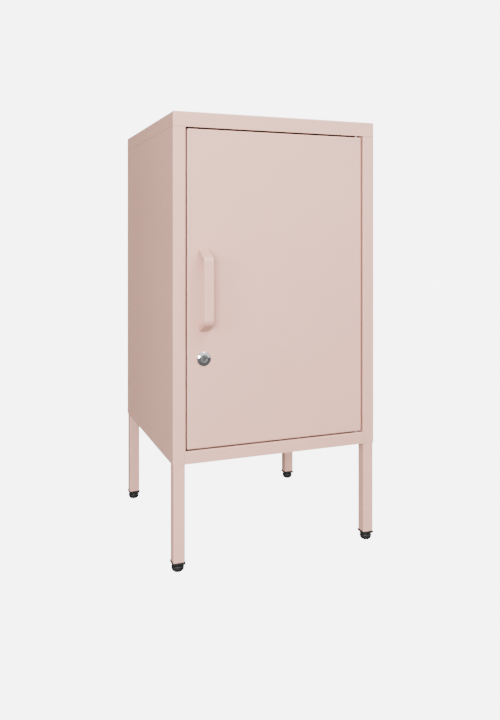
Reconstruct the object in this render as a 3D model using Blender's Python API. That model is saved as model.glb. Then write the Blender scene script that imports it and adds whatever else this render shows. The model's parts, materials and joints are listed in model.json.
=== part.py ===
"""Small powder-coated steel locker cabinet: one flush door on pivot pins, a bow handle, a cam lock,
one shelf, and four square legs with levelling feet.

Metres, +Z up. X runs to the right and Y to the back. The origin is on the floor, under the middle
of the object's outer box.
"""

import math

import bmesh
import bpy
from mathutils import Matrix, Vector

# Outer sizes
WIDTH = 0.350
DEPTH = 0.350  # front face to rear face, without handle and rivets
BODY_HEIGHT = 0.541
CAP_BAND = 0.0235
LEG_DROP = 0.1495  # leg below the body
FOOT_HEIGHT = 0.0155  # end of the leg down to the floor
HANDLE_PROUD = 0.028
RIVET_PROUD = 0.0012

# Sheet steel
SHEET = 0.0008
BEND = 0.0019  # bend radius at the middle of the sheet
TIGHT_BEND = 0.0012
BEND_STEPS = 3
GAP = 0.0003  # between neighbouring pieces
FOLD_ROOM = 0.0016  # a flat sheet's edge stays this far from a wall with a fold beside it

# Front frame and door
STILE = 0.0206
RAIL_HEIGHT = 0.0195
RAIL_DEPTH = 0.018
JAMB_DEPTH = 0.018
STOP_DEPTH = 0.0191
STOP_WIDTH = 0.011
TOP_RAIL_DEPTH = 0.024
TOP_RAIL_HEIGHT = 0.0125
BUMPER_HEIGHTS = {"lower": 0.080, "upper": 0.455}
BUMPER_RADIUS = 0.0038
LATCH_GAP = 0.0020
HINGE_GAP = 0.0036
TOP_GAP = 0.0025
BOTTOM_GAP = 0.0022
DOOR_THICK = 0.016
LINER_RECESS = 0.0008
LINER_FLANGE = 0.003
PIN_INSET = 0.0065  # pivot pin in from the door's hinge edge
PIN_DEPTH = 0.007  # pivot pin behind the door's face
PIN_RADIUS = 0.0020
PIN_HEAD_RADIUS = 0.0040
PIN_HEAD = 0.0015
PIN_REACH = 0.0125  # how far a pin stands out of the door

# Rear of the body
REAR_FLANGE = 0.012
BACK_SETBACK = 0.0011  # outer face of the back panel, in from the rear flanges
RIVET_HEIGHTS = (0.060, 0.480)
RIVET_INSET = 0.006  # rivet in from the side face

# Shelf
SHELF_TOP = 0.272  # above the body's bottom
SHELF_FRONT = 0.034
SHELF_REAR = 0.344
SHELF_FLANGE = 0.015
SHELF_LIP = 0.007
LEDGE_WIDTH = 0.0139
LEDGE_DROP = 0.0149
LEDGE_FRONT = 0.044
LEDGE_REAR = 0.330
CAP_ANGLE_DROP = 0.020
CAP_ANGLE_INNER = 0.162

# Legs and feet
LEG_SIZE = 0.0184
LEG_WALL = 0.0012
LEG_CORNER = 0.0020
REAR_LEG_SETBACK = 0.0022
INSERT_FLANGE = 0.0204
INSERT_FLANGE_HEIGHT = 0.0035
INSERT_PLUG = 0.0154
INSERT_LENGTH = 0.022
STUD_RADIUS = 0.0039
STUD_LENGTH = 0.035
PAD_RADIUS = 0.0099
PAD_NECK_RADIUS = 0.0078
PAD_NECK = 0.0022  # height of the neck above the bowl
PAD_SIDE = 0.0062  # where the bowl's upright side turns in
PAD_FLAT_RADIUS = 0.0050  # flat face that stands on the floor
BRACKET_THICK = 0.0022
BRACKET_WIDTH = 0.026
BRACKET_INNER = 0.120  # inner edge of a bracket, out from the middle
FLOOR_CORNER_NOTCH = 0.012  # half the notch round a leg, front to back
STUD_HOLE = STUD_RADIUS + 0.0004
STUD_START = 0.005

# Fasteners and their holes
RIVET_SHANK = 0.0016
RIVET_HEAD = 0.0032
RIVET_HOLE = 0.0019
BOLT_SHANK = 0.0029
BOLT_HEAD = 0.0055
BOLT_REACH = 0.0085
BOLT_HOLE = 0.0033
SCREW_SHANK = 0.0016
SCREW_HEAD = 0.0036
SCREW_HOLE = 0.0019
BUSH_SLEEVE = 0.0033
BUSH_FLANGE = 0.0045
BUSH_FLANGE_THICK = 0.0012
BUSH_LENGTH = 0.008
BUSH_FLOOR = 0.0010  # closed end of the blind lower bush
BUSH_HOLE = 0.0036

# Handle and lock
HANDLE_X = -0.1258
HANDLE_WIDTH = 0.0164
HANDLE_LOW = 0.201  # where the bow meets the door, above the body's bottom
HANDLE_HIGH = 0.331
HANDLE_SLOPE = 0.014  # how far each end slopes in over the bow's full stand-off
HANDLE_STRAP = 0.0045
HANDLE_FOOT = 0.010
HANDLE_SCREW_INSET = 0.0055
LOCK_X = -0.126
LOCK_Z = 0.160
LOCK_RADIUS = 0.011
LOCK_BODY_RADIUS = 0.0092
PLUG_RADIUS = 0.0061
LOCK_END = 0.0194  # rear end of the lock's body, behind the door's face
NUT_RADIUS = 0.0139
NUT_THICK = 0.003
TAIL_RADIUS = 0.0040  # threaded end of the plug, with two flats that turn the cam
TAIL_FLAT = 0.0030
KEYWAY = (0.0008, 0.008, 0.0038)  # half sizes
CAM_LENGTH = 0.027
CAM_THICK = 0.002
CAM_WIDTH = 0.008  # half the cam's width at its crown

# Places that follow from the sizes
SIDE = WIDTH / 2
FRONT = (HANDLE_PROUD - DEPTH - RIVET_PROUD) / 2
BACK = FRONT + DEPTH
BASE = LEG_DROP + FOOT_HEIGHT
TOP = BASE + BODY_HEIGHT
SEAM = TOP - CAP_BAND
INNER_SIDE = SIDE - SHEET
OPENING = SIDE - STILE
RAIL_END = OPENING + BEND + SHEET / 2  # where a stile's flat face ends at its bend
DOOR_LEFT = LATCH_GAP - OPENING
DOOR_RIGHT = OPENING - HINGE_GAP
DOOR_LOW = BASE + RAIL_HEIGHT + BOTTOM_GAP
DOOR_HIGH = SEAM - TOP_GAP
DOOR_REAR = FRONT + DOOR_THICK
LINER_REAR = DOOR_REAR - LINER_RECESS
PIVOT = Vector((DOOR_RIGHT - PIN_INSET, FRONT + PIN_DEPTH, 0))
LOCK = Vector((LOCK_X, FRONT, BASE + LOCK_Z))
LEG_X = INNER_SIDE - GAP - LEG_SIZE / 2
LEG_FRONT_Y = FRONT + SHEET + GAP + LEG_SIZE / 2
LEG_REAR_Y = BACK - REAR_LEG_SETBACK - LEG_SIZE / 2
CORNERS = {
    "front_left": (-LEG_X, LEG_FRONT_Y),
    "front_right": (LEG_X, LEG_FRONT_Y),
    "rear_left": (-LEG_X, LEG_REAR_Y),
    "rear_right": (LEG_X, LEG_REAR_Y),
}
BOLT_X = 0.140
BOLT_INBOARD = 0.0227  # bolt centre, from the leg's centre towards the middle of the floor


# Scene, holders and finishes


def clear_scene():
    for obj in list(bpy.data.objects):
        bpy.data.objects.remove(obj, do_unlink=True)


def holder(name, place, parent=None):
    """An empty on a joint's axis, which carries the pieces that move together."""
    empty = bpy.data.objects.new(name, None)
    empty.empty_display_size = 0.02
    bpy.context.collection.objects.link(empty)
    empty.parent = parent
    start = parent.matrix_world.translation if parent else Vector()
    empty.location = Vector(place) - start
    bpy.context.view_layer.update()
    return empty


def finish(name, colour, roughness, metallic=0.0):
    material = bpy.data.materials.new(name)
    material.use_nodes = True
    shader = material.node_tree.nodes["Principled BSDF"]
    shader.inputs["Base Color"].default_value = (*colour, 1)
    shader.inputs["Roughness"].default_value = roughness
    shader.inputs["Metallic"].default_value = metallic
    material.diffuse_color = (*colour, 1)
    return material


def pink_powder_coat():
    return finish("pink_powder_coat", (0.70, 0.52, 0.47), 0.5)


def zinc_plate():
    return finish("zinc_plate", (0.62, 0.62, 0.60), 0.35, 1.0)


def chrome_plate():
    return finish("chrome_plate", (0.80, 0.80, 0.80), 0.12, 1.0)


def satin_nickel():
    return finish("satin_nickel", (0.55, 0.55, 0.56), 0.3, 1.0)


def black_plastic():
    return finish("black_plastic", (0.020, 0.020, 0.020), 0.45)


def white_nylon():
    return finish("white_nylon", (0.75, 0.74, 0.70), 0.5)


def soft_rubber():
    return finish("soft_rubber", (0.08, 0.08, 0.08), 0.8)


# Mesh tools: each draws into a bmesh, in the cabinet's own coordinates


def add_loft(bm, rings, closed=False):
    """Skins a row of rings with equal counts. Open rows get a flat face at each end."""
    loops = [[bm.verts.new(point) for point in ring] for ring in rings]
    count = len(loops[0])
    pairs = list(zip(loops, loops[1:]))
    if closed:
        pairs.append((loops[-1], loops[0]))
    for low, high in pairs:
        for i in range(count):
            j = (i + 1) % count
            bm.faces.new((low[i], low[j], high[j], high[i]))
    if not closed:
        bm.faces.new(list(reversed(loops[0])))
        bm.faces.new(loops[-1])


def add_box(bm, low, high):
    size = Vector(high) - Vector(low)
    middle = (Vector(high) + Vector(low)) / 2
    matrix = Matrix.Translation(middle) @ Matrix.Diagonal((*size, 1))
    bmesh.ops.create_cube(bm, size=1, matrix=matrix)


def turn_to(axis):
    """Turns +Z onto the given axis letter."""
    turns = {"X": Matrix.Rotation(math.pi / 2, 4, "Y"), "Y": Matrix.Rotation(-math.pi / 2, 4, "X")}
    return turns.get(axis, Matrix.Identity(4))


def circle(radius, height, steps, flat=None):
    """A ring of points. With flat, both its sides are cut off at that distance from the middle."""
    half = steps // 2
    points = []
    for i in range(steps):
        if flat is None:
            angle = math.pi * (i + 0.5) / half
        else:
            edge = math.acos(flat / radius)
            angle = math.pi * (i // half) + edge + (math.pi - 2 * edge) * (i % half) / (half - 1)
        points.append(Vector((radius * math.cos(angle), radius * math.sin(angle), height)))
    return points


def add_turned(bm, centre, axis, profile, steps=32, closed=False):
    """A turned shape from (radius, distance along the axis) or (radius, distance, flat) points."""
    matrix = Matrix.Translation(centre) @ turn_to(axis)
    rings = [
        [matrix @ point for point in circle(item[0], item[1], steps, *item[2:])]
        for item in profile
    ]
    add_loft(bm, rings, closed)


def add_cylinder(bm, centre, axis, radius, start, end, steps=24):
    add_turned(bm, centre, axis, [(radius, start), (radius, end)], steps)


def rounded_rectangle(half_x, half_y, radius, height):
    points = []
    for quarter, (sign_x, sign_y) in enumerate(((1, 1), (-1, 1), (-1, -1), (1, -1))):
        for step in range(BEND_STEPS + 1):
            angle = math.pi / 2 * (quarter + step / BEND_STEPS)
            x = sign_x * (half_x - radius) + radius * math.cos(angle)
            y = sign_y * (half_y - radius) + radius * math.sin(angle)
            points.append(Vector((x, y, height)))
    return points


def add_tray(bm, matrix, size_x, size_y, depth, bend=BEND):
    """A pressed tray with its plate's outer face at local z = 0 and its flanges running down."""
    outer = bend + SHEET / 2
    inner = bend - SHEET / 2
    steps = [math.pi / 2 * i / BEND_STEPS for i in range(BEND_STEPS + 1)]
    sections = [(outer - outer * math.sin(a), outer * math.cos(a) - outer) for a in steps]
    sections.append((0, -depth))
    sections.append((SHEET, -depth))
    sections += [(outer - inner * math.sin(a), inner * math.cos(a) - outer) for a in reversed(steps)]
    rings = []
    for inset, height in sections:
        corner = max(outer - inset, 0.0002)
        ring = rounded_rectangle(size_x / 2 - inset, size_y / 2 - inset, corner, height)
        rings.append([matrix @ point for point in ring])
    add_loft(bm, rings)


def offset_path(path, bend):
    """The two faces of a sheet folded along a flat path: equal rows of points, left and right."""
    half = SHEET / 2
    left, right = [], []

    def add(point, across, from_left, from_right):
        left.append(point + across * from_left)
        right.append(point + across * from_right)

    points = [Vector(p) for p in path]
    ways = [(b - a).normalized() for a, b in zip(points, points[1:])]
    sides = [Vector((-way.y, way.x)) for way in ways]
    add(points[0], sides[0], half, -half)
    for corner, way_in, way_out, side in zip(points[1:], ways, ways[1:], sides):
        angle = math.atan2(way_in.cross(way_out), way_in.dot(way_out))
        sense = 1 if angle > 0 else -1
        centre = corner - way_in * bend * math.tan(abs(angle) / 2) + side * sense * bend
        for step in range(BEND_STEPS + 1):
            turned = Matrix.Rotation(angle * step / BEND_STEPS, 2) @ (-side * sense)
            add(centre, turned, bend - sense * half, bend + sense * half)
    add(points[-1], sides[-1], half, -half)
    return left, right


def add_folded(bm, path, along, start, end, bend=BEND):
    """A sheet folded along a flat path and run straight along X, Y or Z.

    The path is in (y, z) along X, in (x, z) along Y and in (x, y) along Z.
    """

    def lay(point, run):
        spots = {"X": (run, *point), "Y": (point[0], run, point[1]), "Z": (*point, run)}
        return spots[along]

    left, right = offset_path(path, bend)
    rows = [
        [bm.verts.new(lay(p, run)) for p in side]
        for run, side in ((start, left), (end, left), (end, right), (start, right))
    ]
    last = len(left) - 1
    for i in range(last):
        for a, b in zip(rows, rows[1:] + rows[:1]):
            bm.faces.new((a[i], a[i + 1], b[i + 1], b[i]))
    for i in (0, last):
        bm.faces.new([row[i] for row in rows])


def rounded_outline(corners):
    """A closed outline from (point, radius) corners, with arcs at the rounded ones."""
    outline = []
    count = len(corners)
    for i, (point, radius) in enumerate(corners):
        before, after = Vector(corners[i - 1][0]), Vector(corners[(i + 1) % count][0])
        corner = Vector(point)
        if radius == 0:
            outline.append(corner)
            continue
        way_in, way_out = (corner - before).normalized(), (after - corner).normalized()
        angle = math.atan2(way_in.cross(way_out), way_in.dot(way_out))
        side = Vector((-way_in.y, way_in.x)) * (1 if angle > 0 else -1)
        centre = corner - way_in * radius * math.tan(abs(angle) / 2) + side * radius
        steps = max(3, round(abs(angle) / math.radians(12)))
        for step in range(steps + 1):
            turned = Matrix.Rotation(angle * step / steps, 2) @ (-side)
            outline.append(centre + turned * radius)
    return outline


# Pieces


def add_piece(name, bm, material, parent):
    """Turns a bmesh drawn in the cabinet's coordinates into an object with its holder's origin."""
    bmesh.ops.recalc_face_normals(bm, faces=bm.faces)
    if bm.calc_volume(signed=True) < 0:
        bmesh.ops.reverse_faces(bm, faces=bm.faces)
    bmesh.ops.translate(bm, verts=bm.verts, vec=-parent.matrix_world.translation)
    mesh = bpy.data.meshes.new(name)
    bm.to_mesh(mesh)
    bm.free()
    mesh.materials.append(material)
    mesh.shade_smooth()
    mesh.set_sharp_from_angle(angle=math.radians(30))
    piece = bpy.data.objects.new(name, mesh)
    piece.parent = parent
    bpy.context.collection.objects.link(piece)
    return piece


def cut_away(piece, cutter_bm):
    """Cuts a bmesh's shapes out of a piece."""
    cutter = add_piece(piece.name + "_cutter", cutter_bm, piece.active_material, piece.parent)
    cutter.hide_render = True
    cutter.display_type = "WIRE"
    modifier = piece.modifiers.new("cut", "BOOLEAN")
    modifier.operation = "DIFFERENCE"
    modifier.solver = "EXACT"
    modifier.object = cutter


def build_cap(paint, body):
    bm = bmesh.new()
    place = Matrix.Translation((0, (FRONT + BACK) / 2, TOP))
    add_tray(bm, place, WIDTH, DEPTH, CAP_BAND)
    add_piece("top_cap", bm, paint, body)


def build_side_panel(sign, paint, body):
    """Side wall folded in one with the front stile, its jamb and the rear flange."""
    half = SHEET / 2
    name = "left_side_panel" if sign < 0 else "right_side_panel"
    path = [
        (sign * (SIDE - REAR_FLANGE), BACK - half),
        (sign * (SIDE - half), BACK - half),
        (sign * (SIDE - half), FRONT + half),
        (sign * (OPENING + half), FRONT + half),
    ]
    if sign < 0:
        depth = FRONT + STOP_DEPTH - half
        path += [(-OPENING - half, depth), (-OPENING + STOP_WIDTH, depth)]
    else:
        depth = FRONT + JAMB_DEPTH - half
        path += [(OPENING + half, depth), (OPENING + STOP_WIDTH, depth)]
    bm = bmesh.new()
    add_folded(bm, path, "Z", BASE, SEAM - GAP)
    panel = add_piece(name, bm, paint, body)

    # beside the bottom rail the stile is cut back to its flat face, and the return flange goes
    cuts = bmesh.new()
    inner, outer = OPENING - STOP_WIDTH - 2 * SHEET, OPENING + STOP_WIDTH + 2 * SHEET
    near, middle, far = FRONT - 0.001, FRONT + JAMB_DEPTH - 0.003, FRONT + STOP_DEPTH + 0.001
    shape = [(inner, near), (RAIL_END, near), (RAIL_END, middle), (outer, middle), (outer, far), (inner, far)]
    heights = (BASE - 0.001, BASE + RAIL_HEIGHT + GAP)
    add_loft(cuts, [[Vector((sign * x, y, z)) for x, y in shape] for z in heights])
    for height in RIVET_HEIGHTS:
        spot = (sign * (SIDE - RIVET_INSET), BACK, BASE + height)
        add_cylinder(cuts, spot, "Y", RIVET_HOLE, -0.003, 0.003, 12)
    cut_away(panel, cuts)


def build_back_panel(paint, body):
    outer = BACK - BACK_SETBACK
    edge = INNER_SIDE - FOLD_ROOM
    bm = bmesh.new()
    add_box(bm, (-edge, outer - SHEET, BASE + GAP), (edge, outer, TOP - SHEET - FOLD_ROOM))
    panel = add_piece("back_panel", bm, paint, body)
    cuts = bmesh.new()
    for sign in (-1, 1):
        for height in RIVET_HEIGHTS:
            spot = (sign * (SIDE - RIVET_INSET), BACK, BASE + height)
            add_cylinder(cuts, spot, "Y", RIVET_HOLE, -0.004, 0.002, 12)
    cut_away(panel, cuts)


def build_rivets(metal, body):
    sides = {"left": -1, "right": 1}
    levels = {"lower": RIVET_HEIGHTS[0], "upper": RIVET_HEIGHTS[1]}
    for side, sign in sides.items():
        for level, height in levels.items():
            spot = (sign * (SIDE - RIVET_INSET), BACK, BASE + height)
            bm = bmesh.new()
            shank, tail, head = RIVET_SHANK, -0.0030, RIVET_HEAD
            profile = [(shank, tail), (shank, 0.0002), (head, 0.0002), (head, 0.0005)]
            profile += [(head * 0.8, 0.0010), (head * 0.4, RIVET_PROUD)]
            add_turned(bm, spot, "Y", profile, 12)
            add_piece(f"rear_rivet_{level}_{side}", bm, metal, body)


def build_floor(paint, body):
    half = SHEET / 2
    front = FRONT + RAIL_DEPTH + GAP + half
    rear = BACK - REAR_LEG_SETBACK - half
    level = BASE + RAIL_HEIGHT - half
    path = [(front, BASE + 0.004), (front, level), (rear, level), (rear, BASE + 0.0005)]
    edge = INNER_SIDE - GAP
    bm = bmesh.new()
    add_folded(bm, path, "X", -edge, edge)
    panel = add_piece("floor_panel", bm, paint, body)

    cuts = bmesh.new()
    room = LEG_SIZE / 2 + GAP
    for x, y in CORNERS.values():
        outside = math.copysign(SIDE + 0.005, x)
        low = (min(x - room, outside), y - FLOOR_CORNER_NOTCH, BASE - 0.001)
        web = BASE + RAIL_HEIGHT - SHEET - 0.0001
        high = (max(x + room, outside), y + FLOOR_CORNER_NOTCH, web)
        add_box(cuts, low, high)
        spot = bolt_place(x, y)
        add_cylinder(cuts, spot, "Z", BOLT_HOLE, -0.002, 0.002, 16)
    cut_away(panel, cuts)


def bolt_place(x, y):
    """Centre of a leg bolt at the floor's upper face."""
    inboard = math.copysign(BOLT_INBOARD, (FRONT + BACK) / 2 - y)
    return Vector((math.copysign(BOLT_X, x), y + inboard, BASE + RAIL_HEIGHT))


def build_bottom_rail(paint, body):
    half = SHEET / 2
    front, rear = FRONT + half, FRONT + RAIL_DEPTH - half
    level = BASE + RAIL_HEIGHT - half
    path = [(front, BASE), (front, level), (rear, level), (rear, BASE + 0.004)]
    edge = RAIL_END - GAP
    bm = bmesh.new()
    add_folded(bm, path, "X", -edge, edge, TIGHT_BEND)
    rail = add_piece("bottom_rail", bm, paint, body)
    # only the front face reaches the stiles, in front of the legs
    cuts = bmesh.new()
    for sign in (-1, 1):
        ends = sorted((sign * (OPENING - GAP), sign * (edge + 0.001)))
        low = (ends[0], FRONT + SHEET + 0.0001, BASE - 0.001)
        add_box(cuts, low, (ends[1], FRONT + RAIL_DEPTH + 0.001, BASE + RAIL_HEIGHT + 0.001))
    add_cylinder(cuts, PIVOT, "Z", BUSH_HOLE, BASE + RAIL_HEIGHT - 0.0015, BASE + RAIL_HEIGHT + 0.001)
    cut_away(rail, cuts)


def build_top_rail(paint, body):
    """Channel behind the cap's front band, which holds the upper hinge bush."""
    half = SHEET / 2
    front, rear = FRONT + SHEET + GAP + half, FRONT + TOP_RAIL_DEPTH - half
    level = SEAM + half
    path = [(front, TOP - SHEET - FOLD_ROOM), (front, level), (rear, level)]
    path.append((rear, SEAM + TOP_RAIL_HEIGHT))
    edge = INNER_SIDE - 0.0012
    bm = bmesh.new()
    add_folded(bm, path, "X", -edge, edge, TIGHT_BEND)
    rail = add_piece("top_rail", bm, paint, body)
    cuts = bmesh.new()
    add_cylinder(cuts, PIVOT, "Z", BUSH_HOLE, SEAM - 0.001, SEAM + 0.0015)
    cut_away(rail, cuts)


def build_cap_angle(sign, paint, body):
    """Angle strip inside the body that ties the cap to a side panel."""
    half = SHEET / 2
    name = "left_cap_angle" if sign < 0 else "right_cap_angle"
    wall = sign * (INNER_SIDE - GAP - half)
    level = TOP - SHEET - GAP - half
    path = [(wall, SEAM - CAP_ANGLE_DROP), (wall, level), (sign * CAP_ANGLE_INNER, level)]
    bm = bmesh.new()
    add_folded(bm, path, "Y", FRONT + 0.030, BACK - 0.010, TIGHT_BEND)
    add_piece(name, bm, paint, body)


def build_shelf(paint, body):
    half = SHEET / 2
    front, rear = FRONT + SHELF_FRONT + half, FRONT + SHELF_REAR - half
    level = BASE + SHELF_TOP - half
    low = BASE + SHELF_TOP - SHELF_FLANGE + half
    path = [(front + SHELF_LIP, low), (front, low), (front, level), (rear, level), (rear, low)]
    edge = INNER_SIDE - 0.0007
    bm = bmesh.new()
    add_folded(bm, path, "X", -edge, edge)
    add_piece("shelf", bm, paint, body)


def build_shelf_ledge(sign, paint, body):
    """Angle strip on a side panel that the shelf rests on."""
    half = SHEET / 2
    name = "left_shelf_ledge" if sign < 0 else "right_shelf_ledge"
    wall = sign * (INNER_SIDE - GAP - half)
    level = BASE + SHELF_TOP - SHEET - GAP - half
    path = [(wall, level - LEDGE_DROP), (wall, level), (wall - sign * LEDGE_WIDTH, level)]
    bm = bmesh.new()
    add_folded(bm, path, "Y", FRONT + LEDGE_FRONT, FRONT + LEDGE_REAR, TIGHT_BEND)
    add_piece(name, bm, paint, body)


def build_leg(corner, paint, metal, plastic, body):
    x, y = CORNERS[corner]
    low, high = FOOT_HEIGHT, BASE + RAIL_HEIGHT - SHEET - GAP
    half = LEG_SIZE / 2
    hole = half - LEG_WALL
    place = Matrix.Translation((x, y, 0))
    sections = [(half, LEG_CORNER, low), (half, LEG_CORNER, high)]
    sections += [(hole, LEG_CORNER - LEG_WALL, high), (hole, LEG_CORNER - LEG_WALL, low)]
    rings = [
        [place @ p for p in rounded_rectangle(size, size, radius, z)] for size, radius, z in sections
    ]
    bm = bmesh.new()
    add_loft(bm, rings, closed=True)
    add_piece(f"leg_{corner}", bm, paint, body)

    build_leg_bracket(corner, high, paint, body)
    build_leg_bolt(corner, metal, body)
    build_leg_insert(corner, plastic, body)


def build_leg_bracket(corner, high, paint, body):
    """Flat plate on the leg's inner face, bolted up against the floor panel."""
    x, y = CORNERS[corner]
    bolt = bolt_place(x, y)
    inner, outer = math.copysign(BRACKET_INNER, x), math.copysign(INNER_SIDE - 0.0012, x)
    near = y + math.copysign(LEG_SIZE / 2 + 2 * GAP, bolt.y - y)
    far = near + math.copysign(BRACKET_WIDTH, bolt.y - y)
    low_corner = (min(inner, outer), min(near, far), high - BRACKET_THICK)
    high_corner = (max(inner, outer), max(near, far), high)
    bm = bmesh.new()
    add_box(bm, low_corner, high_corner)
    plate = add_piece(f"leg_bracket_{corner}", bm, paint, body)
    cuts = bmesh.new()
    add_cylinder(cuts, bolt, "Z", BOLT_HOLE, -0.006, 0, 16)
    cut_away(plate, cuts)


def build_leg_bolt(corner, metal, body):
    bolt = bolt_place(*CORNERS[corner])
    head = BOLT_HEAD
    profile = [(BOLT_SHANK, -BOLT_REACH), (BOLT_SHANK, GAP), (head, GAP), (head, 0.0018)]
    profile += [(head * 0.86, 0.0028), (head * 0.5, 0.0034)]
    bm = bmesh.new()
    add_turned(bm, bolt, "Z", profile, 14)
    add_piece(f"leg_bolt_{corner}", bm, metal, body)


def build_leg_insert(corner, plastic, body):
    """Threaded plastic end plug: a square flange under the tube and a square body inside it."""
    x, y = CORNERS[corner]
    place = Matrix.Translation((x, y, 0))
    top = FOOT_HEIGHT - GAP
    flange, plug = INSERT_FLANGE / 2, INSERT_PLUG / 2
    sections = [
        (flange - 0.0008, 0.0015, top - INSERT_FLANGE_HEIGHT),
        (flange, 0.0022, top - INSERT_FLANGE_HEIGHT + 0.0008),
        (flange, 0.0022, top),
        (plug, 0.0005, top),
        (plug, 0.0005, top + INSERT_LENGTH),
    ]
    rings = [
        [place @ p for p in rounded_rectangle(size, size, radius, z)] for size, radius, z in sections
    ]
    bm = bmesh.new()
    add_loft(bm, rings)
    insert = add_piece(f"leg_insert_{corner}", bm, plastic, body)
    cuts = bmesh.new()
    add_cylinder(cuts, (x, y, 0), "Z", STUD_HOLE, 0.010, 0.045, 14)
    cut_away(insert, cuts)


def build_foot(corner, metal, plastic, turn):
    """Levelling foot: a moulded pad on a threaded stud."""
    x, y = CORNERS[corner]
    top = FOOT_HEIGHT - 2 * GAP - INSERT_FLANGE_HEIGHT
    r, inward = PAD_RADIUS, PAD_RADIUS - PAD_FLAT_RADIUS
    shoulder = top - PAD_NECK
    profile = [(PAD_NECK_RADIUS, top), (PAD_NECK_RADIUS, shoulder)]
    profile += [(r - 0.0006, shoulder), (r, shoulder - 0.0006), (r, PAD_SIDE)]
    for step in range(1, 4):
        angle = math.pi / 2 * step / 4
        profile.append((r - inward * (1 - math.cos(angle)), PAD_SIDE * (1 - math.sin(angle))))
    profile.append((PAD_FLAT_RADIUS, 0))
    bm = bmesh.new()
    add_turned(bm, (x, y, 0), "Z", list(reversed(profile)), 24)
    pad = add_piece(f"foot_pad_{corner}", bm, plastic, turn)
    cuts = bmesh.new()
    add_cylinder(cuts, (x, y, 0), "Z", STUD_HOLE, STUD_START - GAP, FOOT_HEIGHT, 14)
    cut_away(pad, cuts)

    bm = bmesh.new()
    end = STUD_START + STUD_LENGTH
    profile = [(STUD_RADIUS, STUD_START), (STUD_RADIUS, end - 0.001), (STUD_RADIUS - 0.001, end)]
    add_turned(bm, (x, y, 0), "Z", profile, 14)
    add_piece(f"foot_stud_{corner}", bm, metal, turn)


def build_hinge_bushes(nylon, body):
    """Flanged nylon bushes. The lower one is blind and carries the pin's end."""
    bore, sleeve, flange = PIN_RADIUS + GAP, BUSH_SLEEVE, BUSH_FLANGE
    bm = bmesh.new()
    web = SEAM + SHEET
    profile = [
        (bore, SEAM + 0.0001),
        (sleeve, SEAM + 0.0001),
        (sleeve, web + GAP),
        (flange, web + GAP),
        (flange, web + GAP + BUSH_FLANGE_THICK),
        (sleeve, web + GAP + BUSH_FLANGE_THICK),
        (sleeve, web + BUSH_LENGTH),
        (bore, web + BUSH_LENGTH),
    ]
    add_turned(bm, PIVOT, "Z", profile, 16, closed=True)
    add_piece("hinge_bush_upper", bm, nylon, body)

    bm = bmesh.new()
    rail = BASE + RAIL_HEIGHT
    web = rail - SHEET
    profile = [
        (sleeve, web - PIN_REACH),
        (sleeve, web - GAP - BUSH_FLANGE_THICK),
        (flange, web - GAP - BUSH_FLANGE_THICK),
        (flange, web - GAP),
        (sleeve, web - GAP),
        (sleeve, rail - 0.0001),
        (bore, rail - 0.0001),
        (bore, web - PIN_REACH + BUSH_FLOOR),
    ]
    add_turned(bm, PIVOT, "Z", profile, 16)
    add_piece("hinge_bush_lower", bm, nylon, body)


def build_door_bumpers(rubber, body):
    """Rubber buttons on the stop flange, which the closed door meets."""
    x = -OPENING + STOP_WIDTH / 2
    stop_face = FRONT + STOP_DEPTH - SHEET
    height = stop_face - DOOR_REAR - 2 * GAP
    r = BUMPER_RADIUS
    for level, z in BUMPER_HEIGHTS.items():
        profile = [(r, -GAP), (r, -GAP - height * 0.5)]
        profile += [(r * 0.84, -GAP - height * 0.85), (r * 0.58, -GAP - height)]
        bm = bmesh.new()
        add_turned(bm, (x, stop_face, BASE + z), "Y", profile, 14)
        add_piece(f"door_bumper_{level}", bm, rubber, body)


def build_door_skin(paint, door):
    wide, high = DOOR_RIGHT - DOOR_LEFT, DOOR_HIGH - DOOR_LOW
    middle = ((DOOR_LEFT + DOOR_RIGHT) / 2, FRONT, (DOOR_LOW + DOOR_HIGH) / 2)
    place = Matrix.Translation(middle) @ Matrix.Rotation(math.pi / 2, 4, "X")
    bm = bmesh.new()
    add_tray(bm, place, wide, high, DOOR_THICK)
    skin = add_piece("door_skin", bm, paint, door)
    cuts = bmesh.new()
    add_cylinder(cuts, LOCK, "Y", LOCK_BODY_RADIUS + GAP, -0.003, 0.003, 24)
    for z in handle_screw_heights():
        add_cylinder(cuts, (HANDLE_X, FRONT, z), "Y", SCREW_HOLE, -0.003, 0.003, 12)
    for z in (DOOR_LOW, DOOR_HIGH):
        add_cylinder(cuts, PIVOT, "Z", PIN_RADIUS + GAP, z - 0.002, z + 0.002, 12)
    cut_away(skin, cuts)


def build_door_liner(paint, door):
    rim = SHEET + GAP
    wide, high = DOOR_RIGHT - DOOR_LEFT - 2 * rim, DOOR_HIGH - DOOR_LOW - 2 * rim
    middle = ((DOOR_LEFT + DOOR_RIGHT) / 2, LINER_REAR, (DOOR_LOW + DOOR_HIGH) / 2)
    place = Matrix.Translation(middle) @ Matrix.Rotation(-math.pi / 2, 4, "X")
    bm = bmesh.new()
    add_tray(bm, place, wide, high, LINER_FLANGE, TIGHT_BEND)
    liner = add_piece("door_liner", bm, paint, door)
    depth = LINER_REAR - FRONT
    cuts = bmesh.new()
    add_cylinder(cuts, LOCK, "Y", LOCK_BODY_RADIUS + GAP, depth - 0.002, depth + 0.001, 24)
    for z in handle_screw_heights():
        spot = (HANDLE_X, FRONT, z)
        add_cylinder(cuts, spot, "Y", SCREW_HOLE, depth - 0.002, depth + 0.001, 12)
    cut_away(liner, cuts)


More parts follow.
